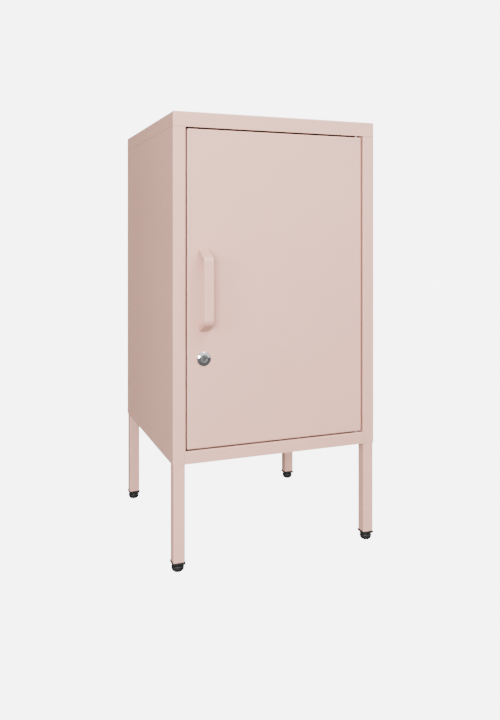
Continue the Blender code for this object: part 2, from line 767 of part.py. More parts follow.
def build_hinge_pins(metal, door):
    """Headed pivot pins, held inside the door's top and bottom edges."""
    for level, edge, sense in (("upper", DOOR_HIGH, 1), ("lower", DOOR_LOW, -1)):
        inside = edge - sense * (SHEET + GAP)
        profile = [
            (PIN_HEAD_RADIUS, inside - sense * PIN_HEAD),
            (PIN_HEAD_RADIUS, inside),
            (PIN_RADIUS, inside),
            (PIN_RADIUS, edge + sense * (PIN_REACH - 0.0006)),
            (PIN_RADIUS - 0.0006, edge + sense * PIN_REACH),
        ]
        bm = bmesh.new()
        add_turned(bm, PIVOT, "Z", profile, 12)
        add_piece(f"hinge_pin_{level}", bm, metal, door)


def handle_screw_heights():
    inset = HANDLE_SCREW_INSET
    return (BASE + HANDLE_LOW + inset, BASE + HANDLE_HIGH - inset)


def build_handle(paint, metal, door):
    """Bow handle: a flat strap whose ends slope in to the door."""
    foot, strap = HANDLE_FOOT, HANDLE_STRAP
    low, high = BASE + HANDLE_LOW, BASE + HANDLE_HIGH
    face, far = FRONT - GAP, FRONT - HANDLE_PROUD
    inner = far + strap
    slope = HANDLE_SLOPE
    corners = [
        ((face, low), 0),
        ((far, low + slope), 0.012),
        ((far, high - slope), 0.012),
        ((face, high), 0),
        ((face, high - foot), 0),
        ((inner, high - foot - slope * 0.7), 0.008),
        ((inner, low + foot + slope * 0.7), 0.008),
        ((face, low + foot), 0),
    ]
    outline = rounded_outline(corners)
    edges = (HANDLE_X - HANDLE_WIDTH / 2, HANDLE_X + HANDLE_WIDTH / 2)
    bm = bmesh.new()
    add_loft(bm, [[(x, *point) for point in outline] for x in edges])
    handle = add_piece("pull_handle", bm, paint, door)
    bevel = handle.modifiers.new("eased_edges", "BEVEL")
    bevel.width = 0.0014
    bevel.segments = 2
    bevel.limit_method = "ANGLE"
    bevel.angle_limit = math.radians(45)
    cuts = bmesh.new()
    for z in handle_screw_heights():
        add_cylinder(cuts, (HANDLE_X, FRONT, z), "Y", SCREW_HOLE, -0.0054, 0.002, 12)
    cut_away(handle, cuts)

    for level, z in zip(("lower", "upper"), handle_screw_heights()):
        start = LINER_REAR - FRONT + GAP
        shank, head = SCREW_SHANK, SCREW_HEAD
        profile = [(shank, -0.0050), (shank, start), (head, start), (head, start + 0.0010)]
        profile += [(head * 0.84, start + 0.0018), (head * 0.42, start + 0.0022)]
        bm = bmesh.new()
        add_turned(bm, (HANDLE_X, FRONT, z), "Y", profile, 12)
        add_piece(f"handle_screw_{level}", bm, metal, door)


def build_lock_housing(chrome, metal, door):
    bore = PLUG_RADIUS + GAP
    r = LOCK_RADIUS
    profile = [
        (bore, -0.0030),
        (r - 0.0016, -0.0032),
        (r - 0.0005, -0.0028),
        (r, -0.0020),
        (r, -GAP),
        (LOCK_BODY_RADIUS, -GAP),
        (LOCK_BODY_RADIUS, LOCK_END),
        (bore, LOCK_END),
    ]
    bm = bmesh.new()
    add_turned(bm, LOCK, "Y", profile, 28, closed=True)
    add_piece("lock_housing", bm, chrome, door)

    start = LINER_REAR - FRONT + GAP
    end = start + NUT_THICK
    hole = LOCK_BODY_RADIUS + GAP
    bm = bmesh.new()
    add_turned(bm, LOCK, "Y", [(NUT_RADIUS, start), (NUT_RADIUS, end)], 6)
    nut = add_piece("lock_nut", bm, metal, door)
    cuts = bmesh.new()
    add_cylinder(cuts, LOCK, "Y", hole, start - 0.001, end + 0.001, 24)
    cut_away(nut, cuts)


def build_lock_barrel(nickel, metal, barrel):
    """Key plug, cam and cam screw, which turn together. The cam hangs down when unlocked."""
    r = PLUG_RADIUS
    tail, flat = TAIL_RADIUS, TAIL_FLAT
    profile = [
        (r - 0.0004, -0.0034),
        (r, -0.0030),
        (r, LOCK_END),
        (tail, LOCK_END, flat),
        (tail, LOCK_END + GAP + CAM_THICK - 0.0001, flat),
    ]
    bm = bmesh.new()
    add_turned(bm, LOCK, "Y", profile, 28)
    plug = add_piece("lock_plug", bm, nickel, barrel)
    cuts = bmesh.new()
    keyway = Vector(KEYWAY)
    add_box(cuts, LOCK - keyway, LOCK + keyway * 0.999)
    add_cylinder(cuts, LOCK, "Y", 0.0020, LOCK_END - 0.0085, LOCK_END + 0.005, 12)
    cut_away(plug, cuts)

    near, far = LOCK_END + GAP, LOCK_END + GAP + CAM_THICK
    width, tip = CAM_WIDTH, CAM_LENGTH
    crown = width * 0.93
    corners = [((-width, width), crown), ((width, width), crown)]
    corners += [((width - 0.001, -tip), 0.003), ((-width + 0.001, -tip), 0.003)]
    outline = rounded_outline(corners)
    bm = bmesh.new()
    add_loft(bm, [[LOCK + Vector((p.x, y, p.y)) for p in outline] for y in (near, far)])
    cam = add_piece("lock_cam", bm, metal, barrel)
    cuts = bmesh.new()
    hole = [(tail + GAP, near - 0.001, flat + GAP), (tail + GAP, far + 0.001, flat + GAP)]
    add_turned(cuts, LOCK, "Y", hole, 24)
    cut_away(cam, cuts)

    start = far + GAP
    profile = [(0.0017, LOCK_END - 0.0080), (0.0017, start), (0.0046, start)]
    profile += [(0.0046, start + 0.0012), (0.0038, start + 0.0020), (0.0020, start + 0.0024)]
    bm = bmesh.new()
    add_turned(bm, LOCK, "Y", profile, 14)
    add_piece("cam_screw", bm, metal, barrel)


def build_carcass(paint, metal, plastic, nylon, rubber):
    body = holder("carcass", (0, 0, 0))
    build_cap(paint, body)
    for sign in (-1, 1):
        build_side_panel(sign, paint, body)
        build_cap_angle(sign, paint, body)
        build_shelf_ledge(sign, paint, body)
    build_back_panel(paint, body)
    build_rivets(metal, body)
    build_floor(paint, body)
    build_bottom_rail(paint, body)
    build_top_rail(paint, body)
    build_shelf(paint, body)
    build_hinge_bushes(nylon, body)
    build_door_bumpers(rubber, body)
    for corner in CORNERS:
        build_leg(corner, paint, metal, plastic, body)


def build_door(paint, metal, chrome, nickel):
    door = holder("door_pivot", PIVOT)
    build_door_skin(paint, door)
    build_door_liner(paint, door)
    build_hinge_pins(metal, door)
    build_handle(paint, metal, door)
    build_lock_housing(chrome, metal, door)
    barrel = holder("lock_axis", LOCK, door)
    build_lock_barrel(nickel, metal, barrel)


def main():
    clear_scene()
    paint, metal = pink_powder_coat(), zinc_plate()
    chrome, nickel = chrome_plate(), satin_nickel()
    plastic, nylon, rubber = black_plastic(), white_nylon(), soft_rubber()
    build_carcass(paint, metal, plastic, nylon, rubber)
    build_door(paint, metal, chrome, nickel)
    for corner, (x, y) in CORNERS.items():
        turn = holder(f"foot_axis_{corner}", (x, y, 0))
        build_foot(corner, metal, plastic, turn)


main()
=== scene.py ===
import json
import math

import bmesh
import bpy
from mathutils import Matrix, Vector


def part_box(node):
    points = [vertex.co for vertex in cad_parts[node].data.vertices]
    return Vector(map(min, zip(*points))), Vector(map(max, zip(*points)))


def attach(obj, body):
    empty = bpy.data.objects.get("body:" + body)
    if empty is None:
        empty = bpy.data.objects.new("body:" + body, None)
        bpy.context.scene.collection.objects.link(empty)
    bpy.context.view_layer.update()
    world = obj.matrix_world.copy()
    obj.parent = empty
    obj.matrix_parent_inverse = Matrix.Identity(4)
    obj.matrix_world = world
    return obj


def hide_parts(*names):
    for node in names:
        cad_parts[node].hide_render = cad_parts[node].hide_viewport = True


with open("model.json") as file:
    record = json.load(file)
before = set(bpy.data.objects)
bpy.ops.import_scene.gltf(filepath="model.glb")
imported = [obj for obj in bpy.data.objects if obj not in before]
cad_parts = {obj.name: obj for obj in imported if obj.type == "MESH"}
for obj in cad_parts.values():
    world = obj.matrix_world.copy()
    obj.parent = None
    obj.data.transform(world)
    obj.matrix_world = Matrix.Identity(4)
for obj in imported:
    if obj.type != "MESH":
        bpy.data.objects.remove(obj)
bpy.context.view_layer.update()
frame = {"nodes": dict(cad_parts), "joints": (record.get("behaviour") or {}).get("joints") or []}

# Steel locker cabinet: folded sheet body, flush door on pivot pins, bow handle, cam lock, levelling feet.
# Every place comes from the CAD boxes and joint axes. Sizes are in metres.

jointPlace = {joint["name"]: Vector(joint["pos_m"]) for joint in frame["joints"]}
hingeAxis = jointPlace["door_hinge"]
lockAxis = jointPlace["lock_turn"]
corners = ("front_left", "front_right", "rear_left", "rear_right")
footAxis = {corner: jointPlace["foot_turn_" + corner] for corner in corners}

capLow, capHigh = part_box("top_cap")
leftLow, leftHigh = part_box("left_side_panel")
doorLow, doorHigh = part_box("door_skin")
railLow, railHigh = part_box("bottom_rail")
front, back = leftLow.y, leftHigh.y
side = capHigh.x
base, seam, top = leftLow.z, capLow.z, capHigh.z

sheet = {"thick": 0.0008, "bend": 0.0019, "tightBend": 0.0012, "bendSteps": 8, "edgeEase": 0.00014}
gap = 0.0003  # clearance between neighbouring pieces
spare = 0.001  # how far a cutter runs past what it cuts


def middleOf(node):
    low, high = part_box(node)
    return (low + high) / 2


# finishes

def newFinish(name):
    finish = bpy.data.materials.new(name)
    finish.use_nodes = True
    return finish, finish.node_tree, finish.node_tree.nodes["Principled BSDF"]


def addNode(tree, kind, **values):
    node = tree.nodes.new(kind)
    for key, value in values.items():
        setattr(node, key, value)
    return node


def wire(tree, *links):
    for sender, output, taker, entry in links:
        tree.links.new(sender.outputs[output], taker.inputs[entry])


def objectCoords(tree):
    return addNode(tree, "ShaderNodeTexCoord").outputs["Object"]


def noiseOn(tree, coords, scale, detail=2.0):
    noise = addNode(tree, "ShaderNodeTexNoise")
    noise.inputs["Scale"].default_value = scale
    noise.inputs["Detail"].default_value = detail
    noise.inputs["Roughness"].default_value = 0.5
    tree.links.new(coords, noise.inputs["Vector"])
    return noise.outputs["Fac"]


def spread(tree, value, low, high, fromLow=0.3, fromHigh=0.7):
    ranged = addNode(tree, "ShaderNodeMapRange")
    ranged.inputs["From Min"].default_value = fromLow
    ranged.inputs["From Max"].default_value = fromHigh
    ranged.inputs["To Min"].default_value = low
    ranged.inputs["To Max"].default_value = high
    tree.links.new(value, ranged.inputs["Value"])
    return ranged.outputs["Result"]


def tintBetween(tree, value, dark, light):
    ramp = addNode(tree, "ShaderNodeValToRGB")
    ramp.color_ramp.elements[0].position = 0.3
    ramp.color_ramp.elements[0].color = (*dark, 1)
    ramp.color_ramp.elements[1].position = 0.7
    ramp.color_ramp.elements[1].color = (*light, 1)
    tree.links.new(value, ramp.inputs["Fac"])
    return ramp.outputs["Color"]


def roughen(tree, shader, heights):
    # stacks several heights into one bump chain, each with its own strength and depth
    normal = None
    for height, strength, depth in heights:
        bump = addNode(tree, "ShaderNodeBump")
        bump.inputs["Strength"].default_value = strength
        bump.inputs["Distance"].default_value = depth
        tree.links.new(height, bump.inputs["Height"])
        if normal:
            tree.links.new(normal, bump.inputs["Normal"])
        normal = bump.outputs["Normal"]
    tree.links.new(normal, shader.inputs["Normal"])


coat = {"light": (0.635, 0.350, 0.272), "dark": (0.617, 0.336, 0.260), "gloss": (0.43, 0.50), "cloud": 9.0,
        "peel": 620, "grain": 2600, "peelBump": (0.10, 0.00012), "grainBump": (0.06, 0.00004)}
# painted shade in the slit round the door: from some depth behind the front the coat turns near-black,
# standing in for the shadow in the gap; how deep, and how much on each side
slitShade = {"tint": (0.065, 0.066, 0.068), "begins": 0.0012, "full": 0.0030, "reach": 0.0003,
          "underTopRail": 1.0, "onBottomRail": 0.7, "doorEdge": 0.65, "leftStile": 0.55, "rightStile": 0.12}


def pinkPowderCoat():
    finish, tree, shader = newFinish("pinkPowderCoat")
    coords = objectCoords(tree)
    cloud = noiseOn(tree, coords, coat["cloud"], 3.0)
    peel = noiseOn(tree, coords, coat["peel"])
    grain = noiseOn(tree, coords, coat["grain"], 1.0)
    # painted shade: behind the front face, points marked in the slit are mixed towards a near-black tint that
    # stands in for the gap's shadow
    depth = addNode(tree, "ShaderNodeSeparateXYZ")
    tree.links.new(coords, depth.inputs["Vector"])
    behind = spread(tree, depth.outputs["Y"], 0, 1, front + slitShade["begins"], front + slitShade["full"])
    slit = addNode(tree, "ShaderNodeAttribute", attribute_name="slit")
    shadeShare = addNode(tree, "ShaderNodeMath", operation="MULTIPLY")
    tree.links.new(behind, shadeShare.inputs[0])
    tree.links.new(slit.outputs["Fac"], shadeShare.inputs[1])
    colour = addNode(tree, "ShaderNodeMix", data_type="RGBA")
    tree.links.new(shadeShare.outputs["Value"], colour.inputs["Factor"])
    tree.links.new(tintBetween(tree, cloud, coat["dark"], coat["light"]), colour.inputs["A"])
    colour.inputs["B"].default_value = (*slitShade["tint"], 1)
    tree.links.new(colour.outputs["Result"], shader.inputs["Base Color"])
    tree.links.new(spread(tree, peel, *coat["gloss"]), shader.inputs["Roughness"])
    shader.inputs["Specular IOR Level"].default_value = 0.5
    roughen(tree, shader, [(peel, *coat["peelBump"]), (grain, *coat["grainBump"])])
    return finish


# the other finishes: tints, gloss range, then (scale, detail) of the noises that drive tint, gloss and bump
zinc = {"dark": (0.55, 0.56, 0.56), "light": (0.70, 0.69, 0.66), "gloss": (0.26, 0.42), "metal": 1.0,
        "tintBy": (260, 3.0), "glossBy": (2200, 2.0), "bumpBy": (2200, 2.0), "bump": (0.12, 0.00003)}
chrome = {"dark": (0.38, 0.39, 0.41), "light": (0.44, 0.44, 0.45), "gloss": (0.06, 0.12), "metal": 1.0,
          "tintBy": (420, 2.0), "glossBy": (420, 2.0), "bumpBy": (5200, 1.0), "bump": (0.03, 0.00002)}
nickel = {"dark": (0.25, 0.25, 0.255), "light": (0.33, 0.33, 0.335), "gloss": (0.30, 0.40), "metal": 1.0,
          "tintBy": (500, 2.0), "glossBy": (500, 2.0), "rings": (620, 1.2, 2.0), "bump": (0.20, 0.00003)}
plastic = {"dark": (0.005, 0.0052, 0.0052), "light": (0.009, 0.0092, 0.0092), "gloss": (0.36, 0.50),
           "tintBy": (90, 2.0), "glossBy": (1900, 2.0), "bumpBy": (1900, 2.0), "bump": (0.25, 0.00004)}
nylon = {"dark": (0.72, 0.71, 0.67), "light": (0.79, 0.78, 0.74), "gloss": (0.40, 0.52), "tintBy": (160, 2.0),
         "glossBy": (160, 2.0), "bumpBy": (3000, 1.0), "bump": (0.08, 0.00003), "glow": (0.15, 0.001)}
rubber = {"dark": (0.060, 0.060, 0.060), "light": (0.105, 0.103, 0.100), "gloss": (0.72, 0.88),
          "tintBy": (240, 3.0), "glossBy": (240, 3.0), "bumpBy": (2600, 1.0), "bump": (0.20, 0.00004)}


def turnedMarks(tree, coords, scale, waver, detail):
    # fine rings about the lock's own axis
    centred = addNode(tree, "ShaderNodeMapping")
    centred.inputs["Location"].default_value = -lockAxis
    tree.links.new(coords, centred.inputs["Vector"])
    rings = addNode(tree, "ShaderNodeTexWave", wave_type="RINGS", rings_direction="Y")
    rings.inputs["Scale"].default_value = scale
    rings.inputs["Distortion"].default_value = waver
    rings.inputs["Detail"].default_value = detail
    tree.links.new(centred.outputs["Vector"], rings.inputs["Vector"])
    return rings.outputs["Fac"]


def plainFinish(name, look):
    finish, tree, shader = newFinish(name)
    coords = objectCoords(tree)
    cloud = noiseOn(tree, coords, *look["tintBy"])
    tree.links.new(tintBetween(tree, cloud, look["dark"], look["light"]), shader.inputs["Base Color"])
    sheen = noiseOn(tree, coords, *look["glossBy"])
    tree.links.new(spread(tree, sheen, *look["gloss"]), shader.inputs["Roughness"])
    if "metal" in look:
        shader.inputs["Metallic"].default_value = look["metal"]
    if "glow" in look:
        weight, reach = look["glow"]
        shader.inputs["Subsurface Weight"].default_value = weight
        shader.inputs["Subsurface Scale"].default_value = reach
    if "rings" in look:
        marks = turnedMarks(tree, coords, *look["rings"])
    else:
        marks = noiseOn(tree, coords, *look["bumpBy"])
    roughen(tree, shader, [(marks, *look["bump"])])
    return finish


finishes = {
    "pink_powder_coat": pinkPowderCoat(),
    "zinc_plate": plainFinish("zincPlate", zinc),
    "chrome_plate": plainFinish("chromePlate", chrome),
    "satin_nickel": plainFinish("satinNickel", nickel),
    "black_plastic": plainFinish("blackPlastic", plastic),
    "white_nylon": plainFinish("whiteNylon", nylon),
    "soft_rubber": plainFinish("softRubber", rubber),
}
print("finishes mixed")


# bench tools

def putIn(name, data):
    made = bpy.data.objects.new(name, data)
    bpy.context.scene.collection.objects.link(made)
    return made


def newObject(name, bm):
    bmesh.ops.remove_doubles(bm, verts=bm.verts, dist=1e-7)
    bmesh.ops.recalc_face_normals(bm, faces=bm.faces)
    if bm.calc_volume(signed=True) < 0:
        bmesh.ops.reverse_faces(bm, faces=bm.faces)
    mesh = bpy.data.meshes.new(name)
    bm.to_mesh(mesh)
    bm.free()
    return putIn(name, mesh)


def plainMesh(made):
    # takes the evaluated shape as the object's own mesh and drops the modifiers
    deps = bpy.context.evaluated_depsgraph_get()
    solved = made.evaluated_get(deps)
    mesh = bpy.data.meshes.new_from_object(solved, preserve_all_data_layers=True, depsgraph=deps)
    made.modifiers.clear()
    made.data = mesh
    mesh.name = made.name


def smoothOver(made, angle=32):
    made.data.shade_smooth()
    made.data.set_sharp_from_angle(angle=math.radians(angle))


def easeEdges(made, width, steps=2, angle=55):
    bevel = made.modifiers.new("easedEdges", "BEVEL")
    bevel.width = width
    bevel.segments = steps
    bevel.limit_method = "ANGLE"
    bevel.angle_limit = math.radians(angle)
    bevel.miter_outer = "MITER_ARC"
    plainMesh(made)


def evenNormals(made, angle=32):
    # flat faces keep their own normals, so a bend shades only round the bend
    smoothOver(made, angle)
    weighted = made.modifiers.new("flatFaces", "WEIGHTED_NORMAL")
    weighted.mode = "FACE_AREA"
    weighted.weight = 50
    weighted.keep_sharp = True
    plainMesh(made)


def easeSheet(made, width=sheet["edgeEase"]):
    easeEdges(made, width)
    evenNormals(made)


def cutOut(made, cutterBm):
    cutter = newObject(made.name + "Cutter", cutterBm)
    cut = made.modifiers.new("cut", "BOOLEAN")
    cut.operation = "DIFFERENCE"
    cut.solver = "EXACT"
    cut.object = cutter
    plainMesh(made)
    bpy.data.objects.remove(cutter)


def paintSlitShade(made, shadeShare, inSlit):
    # marks the points that lie in the slit with their share of painted shade; the coat reads the mark and
    # darkens them towards near-black
    values = made.data.attributes.new("slit", "FLOAT", "POINT")
    for i, vert in enumerate(made.data.vertices):
        values.data[i].value = shadeShare if inSlit(vert.co) else 0.0


def fit(made, body, slot, *nodes):
    made.data.materials.clear()
    made.data.materials.append(finishes[slot])
    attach(made, body)
    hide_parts(*nodes)


def turnTo(axis):
    turns = {"X": Matrix.Rotation(math.pi / 2, 4, "Y"), "Y": Matrix.Rotation(-math.pi / 2, 4, "X")}
    return turns.get(axis, Matrix.Identity(4))


def skinRings(bm, rings, closed=False):
    loops = [[bm.verts.new(point) for point in ring] for ring in rings]
    count = len(loops[0])
    pairs = list(zip(loops, loops[1:]))
    if closed:
        pairs.append((loops[-1], loops[0]))
    for low, high in pairs:
        for i in range(count):
            j = (i + 1) % count
            bm.faces.new((low[i], low[j], high[j], high[i]))
    if not closed:
        bm.faces.new(list(reversed(loops[0])))
        bm.faces.new(loops[-1])


def ringOf(radius, height, steps, flat=None):
    # a ring of points; with flat, both sides are cut off at that distance from the middle
    half = steps // 2
    points = []
    for i in range(steps):
        if flat is None:
            angle = math.pi * (i + 0.5) / half
        else:
            edge = math.acos(flat / radius)
            angle = math.pi * (i // half) + edge + (math.pi - 2 * edge) * (i % half) / (half - 1)
        points.append(Vector((radius * math.cos(angle), radius * math.sin(angle), height)))
    return points


def turnedShape(bm, centre, axis, profile, steps=48, closed=False):
    matrix = Matrix.Translation(centre) @ turnTo(axis)
    rings = [[matrix @ p for p in ringOf(item[0], item[1], steps, *item[2:])] for item in profile]
    skinRings(bm, rings, closed)


def turnedPiece(name, centre, axis, profile, steps, angle=None, closed=False):
    bm = bmesh.new()
    turnedShape(bm, centre, axis, profile, steps, closed)
    made = newObject(name, bm)
    if angle:
        smoothOver(made, angle)
    return made


def arcOf(centreRadius, centreHeight, radius, fromDegrees, toDegrees, steps=6):
    # profile points along an arc, as (radius, height) pairs
    angles = [math.radians(fromDegrees + (toDegrees - fromDegrees) * i / steps) for i in range(steps + 1)]
    return [(centreRadius + radius * math.cos(a), centreHeight + radius * math.sin(a)) for a in angles]


def roundBar(bm, centre, axis, radius, start, end, steps=32):
    turnedShape(bm, centre, axis, [(radius, start), (radius, end)], steps)


def blockShape(bm, low, high):
    size = Vector(high) - Vector(low)
    matrix = Matrix.Translation((Vector(high) + Vector(low)) / 2) @ Matrix.Diagonal((*size, 1))
    bmesh.ops.create_cube(bm, size=1, matrix=matrix)


def roundedSquare(halfX, halfY, radius, height, steps=6):
    points = []
    for quarter, (signX, signY) in enumerate(((1, 1), (-1, 1), (-1, -1), (1, -1))):
        for step in range(steps + 1):
            angle = math.pi / 2 * (quarter + step / steps)
            x = signX * (halfX - radius) + radius * math.cos(angle)
            y = signY * (halfY - radius) + radius * math.sin(angle)
            points.append(Vector((x, y, height)))
    return points


def roundedOutline(points):
    # a closed outline from (point, radius) corners, with arcs at the rounded ones
    outline = []
    count = len(points)
    for i, (point, radius) in enumerate(points):
        corner = Vector(point)
        if radius == 0:
            outline.append(corner)
            continue
        wayIn = (corner - Vector(points[i - 1][0])).normalized()
        wayOut = (Vector(points[(i + 1) % count][0]) - corner).normalized()
        angle = math.atan2(wayIn.cross(wayOut), wayIn.dot(wayOut))
        across = Vector((-wayIn.y, wayIn.x)) * (1 if angle > 0 else -1)
        centre = corner - wayIn * radius * math.tan(abs(angle) / 2) + across * radius
        steps = max(4, round(abs(angle) / math.radians(6)))
        for step in range(steps + 1):
            outline.append(centre + Matrix.Rotation(angle * step / steps, 2) @ (-across) * radius)
    return outline


# node trees

def newTree(name, sockets):
    tree = bpy.data.node_groups.new(name, "GeometryNodeTree")
    tree.interface.new_socket("Geometry", in_out="INPUT", socket_type="NodeSocketGeometry")
    for label, kind, value in sockets:
        socket = tree.interface.new_socket(label, in_out="INPUT", socket_type=kind)
        if value is not None:
            socket.default_value = value
    tree.interface.new_socket("Geometry", in_out="OUTPUT", socket_type="NodeSocketGeometry")
    given = addNode(tree, "NodeGroupInput")
    result = addNode(tree, "NodeGroupOutput")
    return tree, given, result


def closeTree(tree, given, result, geometry):
    # every tree ends in real geometry with its finish on it
    real = addNode(tree, "GeometryNodeRealizeInstances")
    painted = addNode(tree, "GeometryNodeSetMaterial")
    tree.links.new(geometry, real.inputs["Geometry"])
    wire(tree, (real, "Geometry", painted, "Geometry"), (given, "Finish", painted, "Material"),
         (painted, "Geometry", result, "Geometry"))


def runTree(made, tree, values):
    modifier = made.modifiers.new(tree.name, "NODES")
    modifier.node_group = tree
    for item in tree.interface.items_tree:
        if item.in_out == "INPUT" and item.name in values:
            modifier[item.identifier] = values[item.name]


def foldTree():
    # a bend line of straight runs, rounded at each corner and swept along the run of the sheet
    tree, given, result = newTree("foldedSheet", [
        ("Run", "NodeSocketFloat", 0.3), ("Bend Radius", "NodeSocketFloat", 0.002),
        ("Bend Steps", "NodeSocketInt", 8), ("Finish", "NodeSocketMaterial", None)])
    path = addNode(tree, "GeometryNodeMeshToCurve")
    fillet = addNode(tree, "GeometryNodeFilletCurve", mode="POLY")
    upright = addNode(tree, "GeometryNodeSetCurveNormal", mode="Z_UP")
    toEnd = addNode(tree, "ShaderNodeCombineXYZ")
    strip = addNode(tree, "GeometryNodeCurvePrimitiveLine")
    sweep = addNode(tree, "GeometryNodeCurveToMesh")
    wire(tree, (given, "Geometry", path, "Mesh"), (path, "Curve", fillet, "Curve"),
         (given, "Bend Radius", fillet, "Radius"), (given, "Bend Steps", fillet, "Count"),
         (fillet, "Curve", upright, "Curve"), (given, "Run", toEnd, "Y"),
         (toEnd, "Vector", strip, "End"), (upright, "Curve", sweep, "Curve"),
         (strip, "Curve", sweep, "Profile Curve"))
    closeTree(tree, given, result, sweep.outputs["Mesh"])
    return tree


def threadTree():
    # a rolled thread: a rounded ridge wound round the core that comes in as the geometry
    tree, given, result = newTree("rolledThread", [
        ("Radius", "NodeSocketFloat", 0.004), ("Length", "NodeSocketFloat", 0.02),
        ("Pitch", "NodeSocketFloat", 0.00125), ("Ridge", "NodeSocketFloat", 0.0003),
        ("Start", "NodeSocketFloat", 0.0), ("Finish", "NodeSocketMaterial", None)])
    turns = addNode(tree, "ShaderNodeMath", operation="DIVIDE")
    spiral = addNode(tree, "GeometryNodeCurveSpiral")
    spiral.inputs["Resolution"].default_value = 28
    ridge = addNode(tree, "GeometryNodeCurvePrimitiveCircle")
    ridge.inputs["Resolution"].default_value = 6
    sweep = addNode(tree, "GeometryNodeCurveToMesh")
    sweep.inputs["Fill Caps"].default_value = True
    lift = addNode(tree, "ShaderNodeCombineXYZ")
    moved = addNode(tree, "GeometryNodeTransform")
    joined = addNode(tree, "GeometryNodeJoinGeometry")
    tree.links.new(given.outputs["Length"], turns.inputs[0])
    tree.links.new(given.outputs["Pitch"], turns.inputs[1])
    wire(tree, (turns, "Value", spiral, "Rotations"), (given, "Radius", spiral, "Start Radius"),
         (given, "Radius", spiral, "End Radius"), (given, "Length", spiral, "Height"),
         (given, "Ridge", ridge, "Radius"), (spiral, "Curve", sweep, "Curve"),
         (ridge, "Curve", sweep, "Profile Curve"), (given, "Start", lift, "Z"),
         (sweep, "Mesh", moved, "Geometry"), (lift, "Vector", moved, "Translation"),
         (given, "Geometry", joined, "Geometry"), (moved, "Geometry", joined, "Geometry"))
    closeTree(tree, given, result, joined.outputs["Geometry"])
    return tree


def fastenerTree():
    # sets one fastener on every point, each turned at random about its own axis
    tree, given, result = newTree("setFasteners", [
        ("Fastener", "NodeSocketObject", None), ("Turn Seed", "NodeSocketInt", 1),
        ("Finish", "NodeSocketMaterial", None)])
    pattern = addNode(tree, "GeometryNodeObjectInfo")
    turn = addNode(tree, "FunctionNodeRandomValue", data_type="FLOAT")
    turn.inputs[3].default_value = math.tau
    angle = addNode(tree, "ShaderNodeCombineXYZ")
    setOn = addNode(tree, "GeometryNodeInstanceOnPoints")
    wire(tree, (given, "Fastener", pattern, "Object"), (given, "Turn Seed", turn, "Seed"))
    tree.links.new(turn.outputs[1], angle.inputs["Z"])
    wire(tree, (given, "Geometry", setOn, "Points"), (pattern, "Geometry", setOn, "Instance"),
         (angle, "Vector", setOn, "Rotation"))
    closeTree(tree, given, result, setOn.outputs["Instances"])
    return tree


trees = {"fold": foldTree(), "thread": threadTree(), "fasteners": fastenerTree()}
print("node trees built")


def foldedPiece(name, path, along, start, end, bend, cuts=None):
    # the path is in (y, z) along X, in (x, z) along Y and in (x, y) along Z
    mesh = bpy.data.meshes.new(name)
    edges = [(i, i + 1) for i in range(len(path) - 1)]
    mesh.from_pydata([(p[0], p[1], 0) for p in path], edges, [])
    made = putIn(name, mesh)
    values = {"Run": end - start, "Bend Radius": bend, "Bend Steps": sheet["bendSteps"]}
    values["Finish"] = finishes["pink_powder_coat"]
    runTree(made, trees["fold"], values)
    plainMesh(made)
    lows = min(v.co.z for v in made.data.vertices)
    lay = {
        "X": Matrix(((0, 0, 1, start), (1, 0, 0, 0), (0, 1, 0, 0), (0, 0, 0, 1))),
        "Y": Matrix(((1, 0, 0, 0), (0, 0, 1, start), (0, 1, 0, 0), (0, 0, 0, 1))),
        "Z": Matrix.Translation((0, 0, start)),
    }
    made.data.transform(lay[along] @ Matrix.Translation((0, 0, -lows)))
    thick = made.modifiers.new("sheetThickness", "SOLIDIFY")
    thick.thickness = sheet["thick"]
    thick.offset = 0
    thick.use_even_offset = True
    plainMesh(made)
    bm = bmesh.new()
    bm.from_mesh(made.data)
    bmesh.ops.recalc_face_normals(bm, faces=bm.faces)
    if bm.calc_volume(signed=True) < 0:
        bmesh.ops.reverse_faces(bm, faces=bm.faces)
    bm.to_mesh(made.data)
    bm.free()
    if cuts:
        cutOut(made, cuts)
    easeSheet(made)
    return made


def pressedTray(bm, matrix, sizeX, sizeY, depth, bend):
    # plate with its outer face at local z = 0 and its flanges running down, rounded at every bend
    outer, inner = bend + sheet["thick"] / 2, bend - sheet["thick"] / 2
    steps = [math.pi / 2 * i / sheet["bendSteps"] for i in range(sheet["bendSteps"] + 1)]
    sections = [(outer - outer * math.sin(a), outer * math.cos(a) - outer) for a in steps]
    sections += [(0, -depth), (sheet["thick"], -depth)]
    sections += [(outer - inner * math.sin(a), inner * math.cos(a) - outer) for a in reversed(steps)]
    rings = []
    for inset, height in sections:
        corner = max(outer - inset, 0.0002)
        ring = roundedSquare(sizeX / 2 - inset, sizeY / 2 - inset, corner, height, sheet["bendSteps"])
        rings.append([matrix @ point for point in ring])
    skinRings(bm, rings)


# top cap

def makeCap():
    bm = bmesh.new()
    size = capHigh - capLow
    place = Matrix.Translation(((capLow.x + capHigh.x) / 2, (capLow.y + capHigh.y) / 2, top))
    pressedTray(bm, place, size.x, size.y, size.z, sheet["bend"])
    cap = newObject("topCap", bm)
    easeSheet(cap)
    fit(cap, "carcass", "pink_powder_coat", "top_cap")


makeCap()


# side panels, each folded in one with its front stile

sidePanel = {"rearFlange": 0.012, "stopWidth": 0.011, "stopDepth": 0.0191, "jambDepth": 0.018,
             "jambClear": 0.003, "rivetHole": 0.0019}
rivetNodes = [n for n in sorted(frame["nodes"]) if n.startswith("rear_rivet")]
rivetPlaces = [middleOf(n) for n in rivetNodes]
opening = -leftHigh.x + sidePanel["stopWidth"]
railRise = railHigh.z - base
railEnd = railHigh.x + gap


